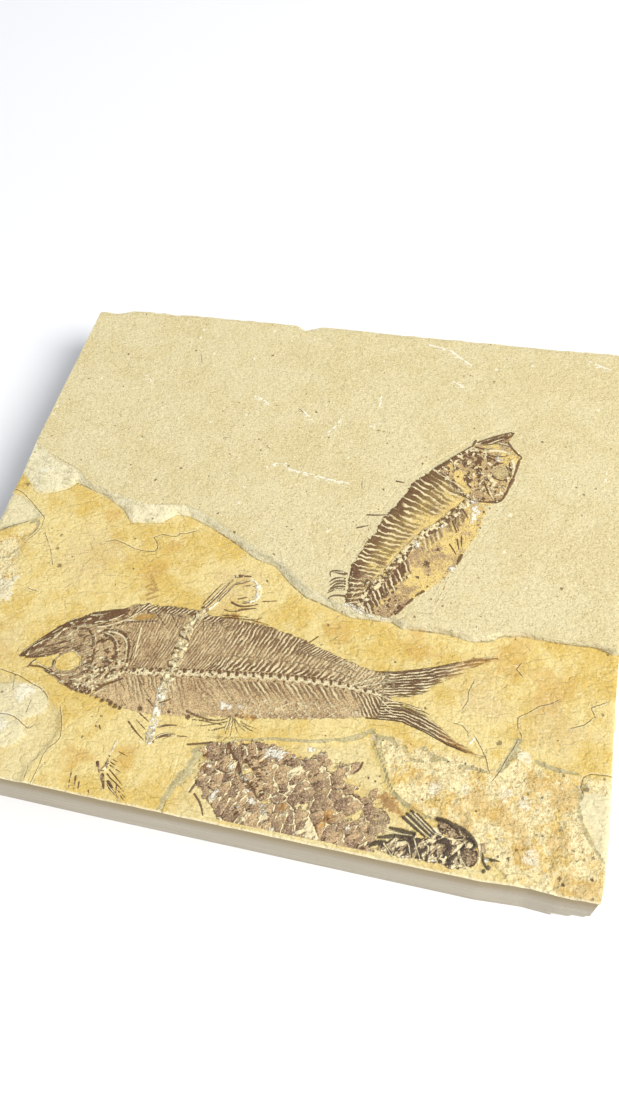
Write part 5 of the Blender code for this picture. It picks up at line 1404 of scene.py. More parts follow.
# Drawn lines and spots, written as those of the large fish
UPPER_DARK = {
    0.16: [
        [(50.2, -18.7), (53.2, -20.3), (54.4, -21.9)],
        [(49.1, -19.0), (51.1, -20.6), (51.6, -22.6), (51.8, -23.7)],
        [(46.9, -17.1), (47.4, -19.0), (48.8, -20.8)],
        [(46.5, -20.0), (46.8, -21.6), (47.7, -23.2), (49.6, -25.0)],
        [(47.9, -26.3), (46.2, -27.9), (44.3, -28.8)], [(41.9, -25.8), (42.4, -27.7), (43.3, -29.2)],
        [(46.9, -25.2), (45.6, -23.9), (44.0, -23.8)], [(41.6, -29.8), (40.6, -28.3), (38.5, -27.6)],
        [(39.8, -25.0), (38.6, -26.6), (37.4, -28.6)], [(41.0, -24.6), (40.4, -26.8)],
        [(27.2, -8.7), (28.0, -10.6)], [(15.2, -9.4), (16.6, -11.4), (18.4, -13.4)],
        [(11.2, -10.3), (12.6, -11.4), (13.3, -11.9)], [(23.2, -30.2), (21.3, -32.2)],
        [(24.4, -30.5), (22.3, -32.2)], [(21.1, -29.7), (19.9, -32.5)],
        [(28.0, -25.8), (26.0, -27.9), (25.2, -29.2)], [(30.6, -26.0), (29.4, -28.4)],
        [(26.4, -26.4), (24.6, -29.0)],
    ],
    0.20: [
        [(0.4, -16.8), (0.1, -15.4), (-1.4, -13.3), (-2.5, -14.4)],
        [(-0.8, -17.3), (-1.9, -15.6), (-3.6, -15.2)], [(-1.3, -17.8), (-2.4, -16.2), (-4.2, -15.9)],
        [(-1.8, -18.3), (-2.9, -16.7), (-4.8, -16.5)], [(-2.4, -18.7), (-3.4, -17.2), (-5.4, -16.6)],
        [(-3.0, -19.1), (-3.9, -17.7), (-6.0, -16.8)], [(-4.2, -20.2), (-5.6, -18.2), (-7.0, -17.8)],
        [(0.0, -16.6), (-1.0, -14.6)],
    ],
    0.28: [
        [(35.7, -19.2), (34.9, -20.3), (34.1, -22.5), (33.8, -24.5), (33.9, -26.2)],
        [(52.7, -22.5), (51.7, -24.5), (51.2, -26.4), (51.1, -27.7), (49.9, -27.6)],
        [(49.7, -27.8), (46.5, -29.1), (44.3, -30.0)], [(48.5, -15.9), (46.4, -16.4)],
        [(45.9, -20.6), (46.5, -23.3)], [(7.8, -33.0), (5.8, -32.4)], [(4.7, -32.4), (2.7, -32.2)],
        [(1.7, -32.1), (-0.6, -32.0)], [(33.1, -17.6), (30.0, -16.6)],
    ],
    0.36: [[(44.6, -29.9), (42.3, -30.4), (41.2, -30.8)], [(20.5, -33.6), (18.0, -34.3)]],
    0.22: [
        [(41.0, -30.9), (38.5, -31.5), (36.9, -31.0), (35.2, -28.6), (34.0, -26.6)],
        [(48.4, -16.6), (51.4, -18.2), (54.0, -19.8), (55.8, -21.0)],
        [(50.6, -19.6), (53.0, -21.2), (55.2, -21.9)],
    ],
    0.60: [
        [(36.0, -13.9), (38.1, -14.5), (40.3, -15.1), (41.6, -15.4), (44.5, -15.9), (46.2, -16.2)],
        [(49.0, -17.9), (51.0, -19.4), (53.2, -20.9)],
    ],
}
UPPER_PALE = {
    0.18: [
        [(38.9, -26.9), (37.7, -28.6), (36.9, -30.2)], [(40.4, -29.2), (38.9, -30.4)],
        [(49.4, -18.9), (51.6, -19.9), (53.0, -20.8)], [(39.6, -16.2), (38.6, -17.4)],
        [(0.2, -16.0), (-1.2, -14.1)], [(-1.0, -17.0), (-2.6, -15.7)], [(-2.2, -18.0), (-3.6, -16.8)],
        [(-3.2, -18.8), (-4.8, -17.2)],
    ],
    0.45: [[(48.0, -20.5), (49.4, -22.2), (50.2, -24.6)], [(48.9, -26.4), (47.6, -27.9), (45.6, -28.9)]],
}
UPPER_SPOTS = [
    (19.7, -27.9, 0.35), (18.2, -28.7, 0.45), (13.7, -29.1, 0.8), (9.6, -29.5, 0.55), (11.4, -31.2, 0.45),
    (8.4, -31.7, 0.40), (9.3, -32.9, 0.35), (7.6, -32.7, 0.35), (4.1, -30.6, 0.40), (2.7, -31.8, 0.40),
    (1.0, -31.7, 0.45), (1.2, -28.6, 0.30), (32.9, -30.3, 0.30), (34.7, -30.6, 0.25), (29.3, -31.5, 0.30),
    (28.9, -32.3, 0.25), (31.0, -31.1, 0.25), (37.2, -19.3, 0.28), (35.6, -21.2, 0.20),
    (25.0, -33.0, 0.25), (15.6, -33.4, 0.35),
]
UPPER_FINS = {
    0.16: [
        [(12.2, -13.2), (13.8, -11.2), (15.2, -10.2), (16.2, -11.0), (17.0, -12.4)],
        [(13.0, -13.0), (14.6, -11.4), (16.2, -12.2)], [(13.8, -34.4), (10.6, -35.5), (7.2, -36.6)],
        [(11.2, -13.6), (9.0, -14.3), (7.2, -14.6)], [(13.4, -34.0), (10.4, -34.9), (8.0, -35.6)],
        [(14.2, -34.9), (11.2, -36.0), (6.6, -37.2)],
    ],
}
# Chalk behind the gill, spots of it, and its thin line at the broken tail end
UPPER_CHALK = {0.9: [[(33.4, -27.4), (32.2, -28.8), (30.3, -29.4), (28.7, -29.8)]]}
UPPER_CHALK_SPOTS = [
    (47.4, -23.8, 0.8), (16.3, -34.0, 0.8), (16.5, -24.0, 0.9), (23.8, -25.7, 0.6), (33.6, -26.6, 0.6),
]
UPPER_CHALK_EDGE = {0.5: [[(-5.4, -22.0), (-4.9, -24.0), (-4.5, -26.7), (-2.2, -31.1)]]}
UPPER_COLUMNS = 440
UPPER_ROWS = 170


def upper_fish_marks(x, y):
    """What shows on the upper fish, worked out in its turned frame. Ribs above the backbone lean back
    along s = s0 - lean * h ** 0.5 and those below along s = s0 - 0.72 * depth, each one a whole number of the
    count."""
    s, t = turned(x, y, UPPER_FISH_BED[0])
    spine = line_at(UPPER_SPINE, s)
    back = line_at(UPPER_BACK, s)
    belly = line_at(UPPER_BELLY, s)
    h = np.clip((t - spine) / (back - spine), 0.0, 1.3)
    depth = np.clip(spine - t, 0.0, 12.0)
    speckle = layered(s, t, 0.7, 201, 3)
    patchy = layered(s, t, 2.6, 205, 3)

    rim = np.minimum(back - t, t - belly) + 0.25 * layered(s, t, 1.6, 209, 2)
    body = ease((rim + 0.3 * speckle) / 0.35) * ease((36.2 - s) / 0.8) * ease((s + 5.6) / 0.6)
    skull = cover_of(s, t, UPPER_SKULL, 0.3, 0.15 * speckle)
    beak = cover_of(s, t, UPPER_BEAK, 0.25, 0.1 * speckle)
    eye_s, eye_t, eye_radius = UPPER_EYE
    eye_reach = np.hypot(s - eye_s, t - eye_t) / eye_radius
    eye = 1.0 - ease((eye_reach - 0.92 + 0.08 * speckle) / 0.15)
    skin = highest(body, skull, beak) * (1.0 - eye)

    # Tone: 0 is the yellow film, 1 is brown
    tail_end = 1.0 - ease((s - 1.0) / 5.0)
    by_spine = ease((3.4 + speckle - np.abs(t - spine)) / 1.5)
    tone = 0.22 + 0.42 * patchy + 0.2 * speckle + 0.55 * tail_end + 0.35 * by_spine * (t < spine)
    tone += 0.30 * ease((h - 0.72) / 0.2) * ease((s - 12.0) / 4.0)
    tone += 0.35 * (depth > 0.0) * ease((2.6 - depth) / 1.2) * window(s, -6.0, 16.0, 3.0)
    blotches = ease(layered(s, t, 1.8, 231, 2) * 2.0 - 0.3) * window(s, -4.0, 24.0, 2.0)
    tone += 0.6 * blotches * ease(depth - 3.5)
    skull_dark = cover_of(s, t, SKULL_DARK, 0.6, 0.35 * speckle)
    front_face = skull * ease((s - 46.0) / 2.0)
    gill = cover_of(s, t, GILL_AMBER, 0.3, 0.2 * speckle)
    skull_tone = 0.70 + 0.30 * patchy + 0.35 * speckle + 0.4 * skull_dark - 0.25 * front_face
    tone = np.where(skull > 0.5, skull_tone * (1.0 - gill), tone)
    tone += beak * 0.8

    lean = np.interp(s, [-4.0, 4.0, 10.0, 20.0, 27.0, 33.0], [4.5, 5.0, 5.2, 3.6, 1.6, 0.3])
    count = np.where(t > spine, s + lean * h ** 0.5, s + 0.72 * depth) / np.where(t > spine, 1.22, 1.35)
    ribs_above = ease((h - 0.12) / 0.15) * (0.75 + 0.25 * ease((h - 0.5) / 0.3))
    ribs_above = ribs_above * (1.0 - 0.6 * window(s + lean * h, 21.0, 26.0, 2.0) * ease((0.55 - h) / 0.2))
    ribs_below = ease((4.4 + 1.2 * speckle - depth) / 1.0) * window(s + 0.72 * depth, -5.0, 14.0, 2.0)
    ribs_below = np.maximum(ribs_below, 0.6 * ease((4.0 - depth) / 1.0) * window(s, 14.0, 32.0, 3.0))
    run = body * np.where(t > spine, ribs_above, ribs_below)
    heavy = body * np.where(t > spine, 0.10 + 0.55 * ease((h - 0.30) / 0.6), 0.12)

    jumble = skull * (1.0 - eye) * (1.0 - 0.5 * front_face) * (1.0 - gill)
    dark = highest(
        strokes(s, t, UPPER_DARK),
        spots(s, t, UPPER_SPOTS) * (0.66 + 0.5 * speckle),
        skull_dark * (0.45 + 0.5 * speckle),
        cover_of(s, t, GILL_DARK, 0.4, 0.2 * speckle) * (0.62 + 0.3 * speckle),
        beak * (0.35 + 0.4 * speckle),
        body * ease((h - 0.84) / 0.1) * (0.55 + 0.5 * speckle) * ease((s - 8.0) / 3.0),
        jumble * ease(layered(s, t, 0.8, 211, 2) * 1.6 - 0.1) * 0.75,
        ease(1.0 - np.abs(eye_reach - 1.05) / 0.12) * (0.30 + 0.7 * speckle),
    )
    pale = highest(
        strokes(s, t, UPPER_PALE),
        jumble * ease(layered(s, t, 0.7, 213, 2) * 1.6 - 0.2) * 0.95,
        beak * grit(s, t, 0.6, 215, 2.0),
    )
    skin = np.maximum(skin, 0.50 * eye)

    off = (t - spine + 0.15 * speckle) / 1.05
    in_column = ease((1.15 - np.abs(off)) / 0.2) * window(s, -5.0, 34.0, 1.0)
    rough = layered(s, t, 0.55, 221, 2)
    pale = np.where(in_column > 0.4, clamp(0.42 + 0.85 * rough), pale)
    dark = np.where(in_column > 0.4, clamp(0.30 - 0.9 * rough + 0.3 * speckle), dark)
    run = run * (1.0 - in_column)
    tail_grit = body * tail_end * grit(s, t, 0.55, 223, 1.8)
    dark = np.maximum(dark, tail_grit * 0.9)
    pale = np.maximum(pale, body * tail_end * grit(s, t, 0.5, 225, 2.0))

    fins = strokes(s, t, UPPER_FINS)
    dark = np.maximum(dark, 0.42 * fins)
    amber = fins * (0.5 + 0.3 * speckle)
    chalk = highest(
        strokes(s, t, UPPER_CHALK),
        spots(s, t, UPPER_CHALK_SPOTS),
        0.9 * strokes(s, t, UPPER_CHALK_EDGE),
    )
    chalk = chalk * (0.85 + 0.6 * speckle)

    relief = 0.03 + 0.06 * skin + 0.10 * clamp(dark) + 0.08 * clamp(pale)
    relief += 0.12 * in_column * dome(off) + 0.12 * skull * (1.0 - eye)
    marks = dict(skin=skin, tone=tone, dark=dark, pale=pale, amber=amber, chalk=chalk,
                 net=np.zeros_like(x), run=run, heavy=heavy)
    return marks, relief, {"count": count}


fish = fossil_piece("upper_fish_film", UPPER_FISH_BED, UPPER_COLUMNS, UPPER_ROWS, upper_fish_marks)
amber_finish = fossil_finish("amber_bone", tan=(240, 208, 120), mauve=(172, 138, 96), bone=(58, 38, 24),
                             roughness=0.6)
fish.data.materials.append(amber_finish)
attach(fish, "root")
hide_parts("upper_fish")

# The scaly fish
# The side of a larger fish that the saw cut off: overlapping oval scales, jumbled on the left and slanting
# apart on the right, with glassy orange ones and white crumbs between them.
SCALY_AREA = [
    (-6.9, -53.3), (-4.4, -51.4), (-1.4, -50.7), (2.2, -50.2), (6.2, -49.4), (10.0, -50.0), (13.8, -51.2),
    (16.4, -50.3), (19.1, -48.4), (20.4, -50.9), (23.5, -50.7), (25.4, -50.9), (25.3, -52.9),
    (23.9, -54.1), (27.0, -54.7), (27.1, -56.6), (30.1, -56.8), (31.8, -58.2), (34.4, -58.6),
    (34.4, -61.0), (33.2, -64.0), (32.0, -67.4), (25.7, -68.0), (2.0, -68.0), (-0.5, -65.6),
    (-3.0, -63.5), (-5.8, -61.3), (-6.3, -59.6), (-5.8, -56.7),
]
# Scales that lie alone: the middle, half the length, half the width and the turn of each
LONE_SCALES = [(25.4, -51.3, 1.9, 1.2, 0.7), (31.0, -55.6, 2.0, 1.3, 0.5)]
# Size of the scales' cells and the slant of their rows
SCALE_LENGTH = 3.0
SCALE_WIDTH = 1.75
SCALE_TURN = 0.72
# Drawn lines and spots, written as those of the large fish
SCALY_DARK = {
    0.30: [
        [(-1.6, -51.0), (0.1, -53.4), (2.0, -55.1), (2.6, -56.6), (3.5, -57.7), (5.2, -58.6),
         (6.5, -59.9), (7.4, -61.1)],
        [(1.8, -51.4), (2.2, -53.4)],
    ],
    0.20: [
        [(-9.8, -53.2), (-7.0, -52.5), (-4.7, -51.7), (-2.9, -50.7)],
        [(-5.3, -62.9), (-3.4, -64.6), (-2.2, -67.0)], [(-6.4, -62.6), (-5.6, -60.0)],
        [(26.8, -49.8), (26.6, -51.2), (25.4, -52.4)],
    ],
}
SCALY_CHALK = [
    (7.3, -50.9, 0.8), (8.6, -51.6, 0.9), (9.8, -52.0, 0.7), (16.0, -49.0, 0.7), (17.5, -49.6, 0.6),
    (-1.4, -62.6, 0.8), (-1.0, -61.4, 0.5), (3.7, -57.3, 0.8), (6.7, -61.9, 0.7), (8.9, -63.3, 0.9),
    (16.5, -66.4, 0.5), (5.2, -59.8, 0.5), (0.6, -56.0, 0.5), (4.4, -63.8, 0.4), (-4.2, -56.8, 0.4),
    (10.6, -60.4, 0.4), (12.4, -66.6, 0.6), (26.4, -63.6, 0.6),
]
SCALY_AMBER = [
    (13.0, -61.8, 0.9), (22.3, -62.0, 1.3), (21.8, -63.4, 1.0), (20.4, -65.0, 0.7), (34.0, -57.6, 1.2),
    (32.6, -57.4, 1.0), (-5.0, -57.0, 0.8), (-5.4, -54.6, 0.6), (6.6, -53.4, 0.6),
]
# Dark specks on the lone scale: the middle and radius of each
SCALY_SPOTS = [(28.6, -52.7, 0.2), (30.1, -53.1, 0.2), (30.9, -51.9, 0.2)]
SCALY_COLUMNS = 260
SCALY_ROWS = 110


def plates(u, v, seed):
    """Overlapping plates as cells round scattered middles: the number of the nearest middle, how far a
    point lies from it towards the free edge, and how much nearer it is than the second nearest."""
    column = np.floor(u / SCALE_LENGTH)
    row = np.floor(v / SCALE_WIDTH)
    nearest = np.full(u.shape, 1e9)
    second = np.full(u.shape, 1e9)
    number = np.zeros_like(u)
    way = np.zeros_like(u)
    for i in (-1, 0, 1):
        for j in (-1, 0, 1):
            cell = (column + i) * 57.0 + (row + j) * 131.0 + 9000.0
            du = u / SCALE_LENGTH - (column + i + 0.1 + 0.8 * chance(cell, seed))
            dv = v / SCALE_WIDTH - (row + j + 0.1 + 0.8 * chance(cell, seed + 1))
            away = np.hypot(du, dv)
            closer = away < nearest
            second = np.where(closer, nearest, np.minimum(second, away))
            nearest = np.where(closer, away, nearest)
            number = np.where(closer, cell, number)
            way = np.where(closer, du, way)
    return number, way, second - nearest


def scaly_fish_marks(x, y):
    """What shows of the scales: plates that slant up to the right, each with its own tone and painted
    shading, darker at its root and lighter towards its free edge, with a pale rim at its free edge that is
    partly cream bone and partly painted highlight, and a painted shadow line at its root. Some have come
    away, and slender splinters and crumbs lie between those on the left."""
    speckle = layered(x, y, 0.7, 301, 3)
    patchy = layered(x, y, 3.0, 305, 3)
    loose = ease((x - 8.0) / 12.0)
    warp = 1.4 * layered(x, y, 6.0, 307, 2) * (1.0 - 0.7 * loose)
    u, v = turned(x, y, SCALE_TURN)
    u = u + warp
    v = v + 0.8 * warp
    number, way, border = plates(u, v, 311)
    border = border + 0.10 * speckle
    slender = layered(u, v * 2.8, 2.0, 325, 3)
    within = cover_of(x, y, SCALY_AREA, 0.4, 0.5 * speckle)
    lone = np.zeros_like(x)
    for lone_x, lone_y, length, width, turn in LONE_SCALES:
        du, dv = turned(x - lone_x, y - lone_y, turn)
        lone = np.maximum(lone, ease((1.0 - np.hypot(du / length, dv / width)) / 0.2))
    kept = chance(number, 317) > 0.03 + 0.07 * loose
    skin = np.maximum(within * np.where(kept, 1.0, 0.30 + 0.5 * speckle), lone)
    free = ease((way + 0.5) / 1.0)
    # Painted shading across each scale: darker at its root, lighter towards its free edge
    tone = 0.42 + 0.70 * (chance(number, 319) - 0.3) + 0.20 * patchy + 0.20 * slender - 0.55 * (free - 0.5)
    tone = np.where(lone > 0.3, 0.5, tone)
    jumble = within * (1.0 - 0.7 * loose)
    pale = highest(
        # a pale rim at each scale's free edge, partly cream bone and partly painted highlight
        within * kept * ease(1.3 - border / 0.34) * ease((way - 0.02) / 0.15) * (0.66 + 0.9 * speckle),
        jumble * ease(1.8 * slender - 0.85) * 0.9,
        within * (chance(number, 329) > 0.93) * ease(0.6 + 1.2 * slender) * 0.8,
    )
    grooves = strokes(x, y, SCALY_DARK)
    dark = highest(
        # a painted shadow line at each scale's root
        within * ease(1.2 - border / 0.30) * ease((-0.02 - way) / 0.15) * (0.44 + 0.5 * speckle),
        jumble * ease(-1.8 * slender - 0.75) * 0.8,
        grooves,
        spots(x, y, SCALY_SPOTS),
    )
    amber = spots(x, y, SCALY_AMBER) * (0.9 + 0.4 * speckle)
    top = within * ease((y + 54.5 + 1.2 * patchy) / 2.0) * window(x, 4.0, 20.0, 3.0)
    chalk = spots(x, y, SCALY_CHALK) * (0.75 + 0.9 * speckle)
    chalk = np.maximum(chalk, top * ease(1.4 * slender + 0.1) * 0.75)
    relief = 0.03 + within * (0.10 + 0.08 * patchy + 0.05 * speckle + 0.05 * slender)
    relief += within * kept * (0.20 * way + 0.08 * ease(border / 0.2)) + 0.18 * lone
    relief += 0.06 * clamp(chalk) - 0.16 * grooves
    none = np.zeros_like(x)
    marks = dict(skin=skin, tone=tone, dark=dark, pale=pale, amber=amber, chalk=chalk,
                 net=none, run=none, heavy=none)
    return marks, relief, {"count": none}


scales = fossil_piece("scaly_fish_side", SCALY_FISH_BED, SCALY_COLUMNS, SCALY_ROWS, scaly_fish_marks)
scale_finish = fossil_finish("mauve_scale", tan=(207, 172, 126), mauve=(132, 100, 80), bone=(58, 43, 34),
                             roughness=0.55)
scales.data.materials.append(scale_finish)
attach(scales, "root")
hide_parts("scaly_fish")

# The spiny bones
# Crushed bones of another fish, cut by the saw as well: black spines, a bunch of rays, two dark blades, mauve
# flakes with white edges, and a domed brown disc.
BONE_MASS = [
    (33.4, -64.6), (35.6, -63.3), (39.5, -62.0), (41.8, -62.2), (43.1, -60.7), (46.6, -60.8),
    (49.1, -60.7), (51.2, -61.4), (52.2, -63.9), (50.6, -66.2), (47.6, -67.0), (42.5, -66.6),
    (37.5, -66.9), (34.5, -66.7), (32.4, -66.5),
]
BLADE = [
    (43.5, -58.1), (45.0, -58.1), (46.8, -59.0), (48.9, -59.4), (51.1, -61.0), (51.4, -61.8),
    (47.8, -61.4), (44.0, -60.6), (43.5, -59.6),
]
# The domed disc's middle and radius
BROWN_DISC = (50.2, -64.2, 1.75)
GREY_PLATE = [(51.9, -60.9), (52.9, -60.8), (53.4, -62.8), (52.3, -62.9)]
# Drawn lines and spots, written as those of the large fish
SPINY_DARK = {
    0.20: [
        [(34.3, -65.1), (36.3, -66.8), (36.6, -63.8)], [(36.8, -63.8), (38.7, -63.3), (39.8, -66.2)],
        [(39.9, -62.8), (40.8, -64.6), (41.8, -66.4)], [(41.8, -62.6), (43.3, -63.8), (42.4, -65.9)],
        [(53.6, -63.7), (55.8, -63.7)], [(44.6, -61.6), (46.2, -63.0), (47.6, -62.4)],
    ],
    0.30: [
        [(37.5, -58.3), (42.6, -61.7)], [(38.2, -57.7), (43.2, -61.3)], [(39.4, -58.1), (44.2, -61.4)],
        [(36.9, -59.1), (41.6, -62.0)], [(52.6, -63.1), (53.3, -65.1), (54.2, -65.4)],
    ],
    0.45: [
        [(39.4, -61.9), (36.9, -61.8), (34.7, -61.6)], [(38.9, -62.5), (35.5, -63.1), (32.8, -63.9)],
        [(34.2, -64.6), (31.9, -65.2), (31.5, -66.0)],
        [(43.4, -58.2), (45.0, -58.2), (46.9, -59.0), (47.8, -60.3)],
        [(46.9, -58.7), (48.9, -59.3), (51.0, -61.0), (51.5, -61.8)],
    ],
}
SPINY_PALE = {
    0.16: [
        [(37.3, -58.8), (42.2, -61.9)], [(38.0, -58.0), (42.9, -61.5)], [(38.9, -58.0), (43.8, -61.4)],
        [(34.0, -64.8), (36.0, -66.9)], [(36.4, -63.6), (36.0, -66.6)],
        [(37.0, -64.0), (38.6, -63.5), (39.4, -66.2)], [(39.6, -62.9), (41.3, -66.4)],
        [(44.0, -61.0), (46.6, -61.5), (48.8, -61.1)], [(41.6, -63.2), (42.9, -64.0), (42.0, -65.8)],
        [(33.6, -62.2), (36.8, -62.4), (39.0, -62.2)],
    ],
    0.26: [[(51.8, -61.6), (52.3, -63.3), (52.1, -65.1)], [(48.0, -62.6), (48.6, -64.9), (50.2, -66.2)]],
}
SPINY_SPOTS = [(52.6, -63.0, 0.35), (54.5, -63.8, 0.35), (54.0, -65.2, 0.45), (53.2, -66.0, 0.35)]
SPINY_CHALK = [
    (53.4, -64.2, 0.5), (54.8, -64.6, 0.7), (55.2, -65.1, 0.5), (43.8, -66.2, 0.4), (38.0, -66.6, 0.4),
]
SPINY_AMBER = {1.5: [[(32.6, -56.3), (34.2, -57.4), (36.0, -58.6)]]}
SPINY_COLUMNS = 190
SPINY_ROWS = 85


def spiny_bones_marks(x, y):
    """What shows of the crushed bones: a brown mass with drawn dark and pale edges, the blades, the disc, and
    a crumbly part below them."""
    speckle = layered(x, y, 0.6, 401, 3)
    patchy = layered(x, y, 2.4, 405, 3)
    mass = cover_of(x, y, BONE_MASS, 0.4, 0.3 * speckle)
    last_scales = cover_of(x, y, SCALY_AREA, 0.4, 0.5 * speckle) * (1.0 - mass)
    blade = cover_of(x, y, BLADE, 0.25, 0.1 * speckle)
    disc_x, disc_y, disc_radius = BROWN_DISC
    disc = np.hypot(x - disc_x, y - disc_y) / disc_radius
    on_disc = ease((1.0 - disc) / 0.12)
    plate = cover_of(x, y, GREY_PLATE, 0.2)
    crumbly = mass * window(x, 39.0, 51.0, 2.0) * ease((-63.6 - y) / 1.2) * (1.0 - on_disc)
    skin = highest(mass, blade, on_disc, plate, last_scales * (0.75 + 0.4 * speckle))
    tone = 0.45 + 0.35 * patchy + 0.2 * speckle + 0.3 * blade + 0.5 * on_disc - 0.2 * crumbly
    streaky = layered(0.6 * x + 0.8 * y, 2.6 * (0.6 * y - 0.8 * x), 1.5, 421, 3)
    dark = highest(
        strokes(x, y, SPINY_DARK),
        spots(x, y, SPINY_SPOTS) * (0.9 + 0.4 * speckle),
        blade * ease(0.5 + patchy + 0.5 * speckle) * 0.6,
        on_disc * (0.24 + 0.25 * speckle + 0.6 * ease((disc - 0.78) / 0.2)),
        crumbly * grit(x, y, 0.5, 411, 1.6),
        mass * (1.0 - on_disc) * ease(1.9 * streaky + 0.20) * 0.85,
        last_scales * grit(x, y, 0.8, 419, 1.9) * 0.6,
    )
    pale = highest(
        strokes(x, y, SPINY_PALE),
        crumbly * grit(x, y, 0.5, 415, 1.5),
        mass * (1.0 - on_disc) * ease(-1.9 * streaky - 0.10) * 0.85,
    )
    amber = strokes(x, y, SPINY_AMBER) * (0.9 + 0.3 * speckle)
    tone = np.where(amber > 0.5, 0.72 + 0.3 * patchy, tone)
    chalk = spots(x, y, SPINY_CHALK) * (0.8 + 0.8 * speckle)
    relief = 0.03 + 0.12 * mass * (1.0 + 0.5 * patchy) + 0.22 * clamp(dark) * (1.0 - on_disc)
    relief += 0.50 * dome(disc) + 0.18 * blade + 0.15 * plate
    relief += 0.06 * speckle * mass
    none = np.zeros_like(x)
    marks = dict(skin=skin, tone=tone, dark=dark, pale=pale, amber=amber, chalk=chalk,
                 net=none, run=none, heavy=none)
    return marks, relief, {"count": none}


bones = fossil_piece("spiny_bones_mass", SPINY_BONES_BED, SPINY_COLUMNS, SPINY_ROWS, spiny_bones_marks)
grey_finish = fossil_finish("grey_bone", tan=(190, 164, 128), mauve=(116, 90, 70), bone=(34, 27, 22),
                            roughness=0.6, rust=(76, 58, 42))
bones.data.materials.append(grey_finish)
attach(bones, "root")
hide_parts("spiny_bones")

# The crossing skeleton
# A small fish without its flesh, lying across the large one: a crumbled white backbone, two thin bones that
# lead to an open skull ring, and loose ribs. They stand a few tenths of a millimetre proud.
# The backbone's middle line and half its width, the length of a vertebra and its rise
CROSSING_COLUMN = [
    (-18.0, -54.9, 0.8), (-18.4, -53.0, 0.95), (-18.5, -49.8, 1.0), (-18.6, -46.3, 1.15),
    (-18.8, -43.8, 1.3), (-18.9, -41.1, 1.55), (-18.6, -38.8, 1.65), (-18.3, -36.1, 1.75),
    (-18.1, -33.4, 1.8), (-18.3, -30.8, 1.75), (-18.0, -28.1, 1.55), (-17.3, -25.6, 1.4),
    (-16.1, -22.9, 1.35), (-15.2, -21.3, 1.15),
]
CROSSING_VERTEBRA = 1.5
CROSSING_PEAK = 0.26
# Each thin bone: its kind, half its width in millimetres, and its corners
CROSSING_BONES = [
    ("dark", 0.20, [(-24.2, -50.6), (-21.8, -52.6), (-18.9, -54.4)]),
    ("dark", 0.18, [(-22.6, -50.0), (-19.6, -51.9)]), ("dark", 0.18, [(-22.5, -48.4), (-19.4, -50.1)]),
    ("dark", 0.20, [(-21.8, -45.0), (-19.6, -46.6)]),
    ("dark", 0.24, [(-17.4, -54.4), (-16.2, -52.6), (-13.5, -52.0), (-10.4, -51.6)]),
    ("cored", 0.30, [(-17.2, -53.4), (-15.6, -51.9), (-12.8, -51.5)]),
    ("dark", 0.26, [(-17.5, -51.0), (-15.9, -50.1), (-13.2, -49.6)]),
    ("dark", 0.18, [(-18.8, -45.5), (-17.6, -45.0), (-16.1, -44.0)]),
    ("dark", 0.20, [(-19.6, -45.2), (-18.3, -45.5), (-17.4, -45.0)]),
    ("dark", 0.14, [(-16.6, -21.1), (-14.9, -17.4), (-13.0, -14.0)]),
    ("cored", 0.46, [(-15.7, -21.3), (-14.1, -18.6), (-12.3, -15.0), (-11.0, -12.8)]),
    ("cored", 0.40, [(-13.3, -19.4), (-11.9, -16.6), (-10.1, -13.6)]),
    ("white", 0.3, [(-14.6, -21.6), (-12.9, -19.3)]),
    ("dark", 0.45, [(-11.9, -12.7), (-9.7, -11.8), (-7.1, -11.6)]),
    ("cored", 0.35, [(-10.6, -14.2), (-8.3, -13.3), (-7.0, -12.6)]),
    ("dark", 0.16, [(-8.5, -14.5), (-7.0, -14.0), (-5.4, -14.1)]),
    ("white", 0.75, [(-5.2, -13.6), (-4.2, -15.2), (-4.5, -17.2), (-5.8, -18.4)]),
    ("white", 0.35, [(-7.4, -12.4), (-5.8, -12.9), (-4.8, -14.2)]),
    ("dark", 0.28, [(-10.2, -18.8), (-8.6, -19.5), (-7.0, -19.6), (-5.2, -19.1), (-3.7, -18.4)]),
    ("dark", 0.18, [(-8.9, -18.0), (-6.5, -17.0)]),
    ("cored", 0.34, [(-7.6, -18.7), (-6.0, -18.2), (-4.6, -18.2)]),
    ("dark", 0.28, [(-8.6, -21.2), (-7.2, -20.4), (-5.4, -19.9), (-3.3, -19.4)]),
    ("dark", 0.14, [(-11.4, -21.0), (-9.6, -21.4), (-7.6, -20.9)]),
    ("dark", 0.14, [(-3.2, -17.6), (-1.6, -17.3), (0.4, -16.8)]),
]


def strip_grid(path, half_width, step, rows):
    """Points of a strip along a path: across it each row is the path moved sideways by its share of half
    the width. Gives x, y, the share from -1 to 1, and the distance along the path and to its ends."""
    path = smoothed(path)
    lengths = np.concatenate([[0.0], np.cumsum(np.hypot(*np.diff(path[:, :2], axis=0).T))])
    along = np.linspace(0.0, lengths[-1], max(int(lengths[-1] / step), 6))
    middle_x = np.interp(along, lengths, path[:, 0])
    middle_y = np.interp(along, lengths, path[:, 1])
    direction = np.arctan2(np.gradient(middle_y), np.gradient(middle_x))
    share = np.linspace(-1.0, 1.0, rows)[:, None]
    taper = half_width * (1.0 - 0.6 * ease(along / lengths[-1] * 1.4 - 0.4))
    width = taper if path.shape[1] == 2 else np.interp(along, lengths, path[:, 2])
    x = middle_x - np.sin(direction) * share * width
    y = middle_y + np.cos(direction) * share * width
    share = np.broadcast_to(share, x.shape)
    along = np.broadcast_to(along, x.shape)
    return x, y, share, along, np.minimum(along, lengths[-1] - along)


def ground_under(x, y):
    """Height of what the small skeletons lie on: the split stone, or the large fish's film."""
    height, masks = stone_face(x, y)
    rim = inside(x, y, bed_outline(LARGE_FISH_BED))
    relief = large_fish_marks(x, y)[1]
    return height + np.where(rim > 0.0, relief * ease(rim / RIM_REACH), 0.0)


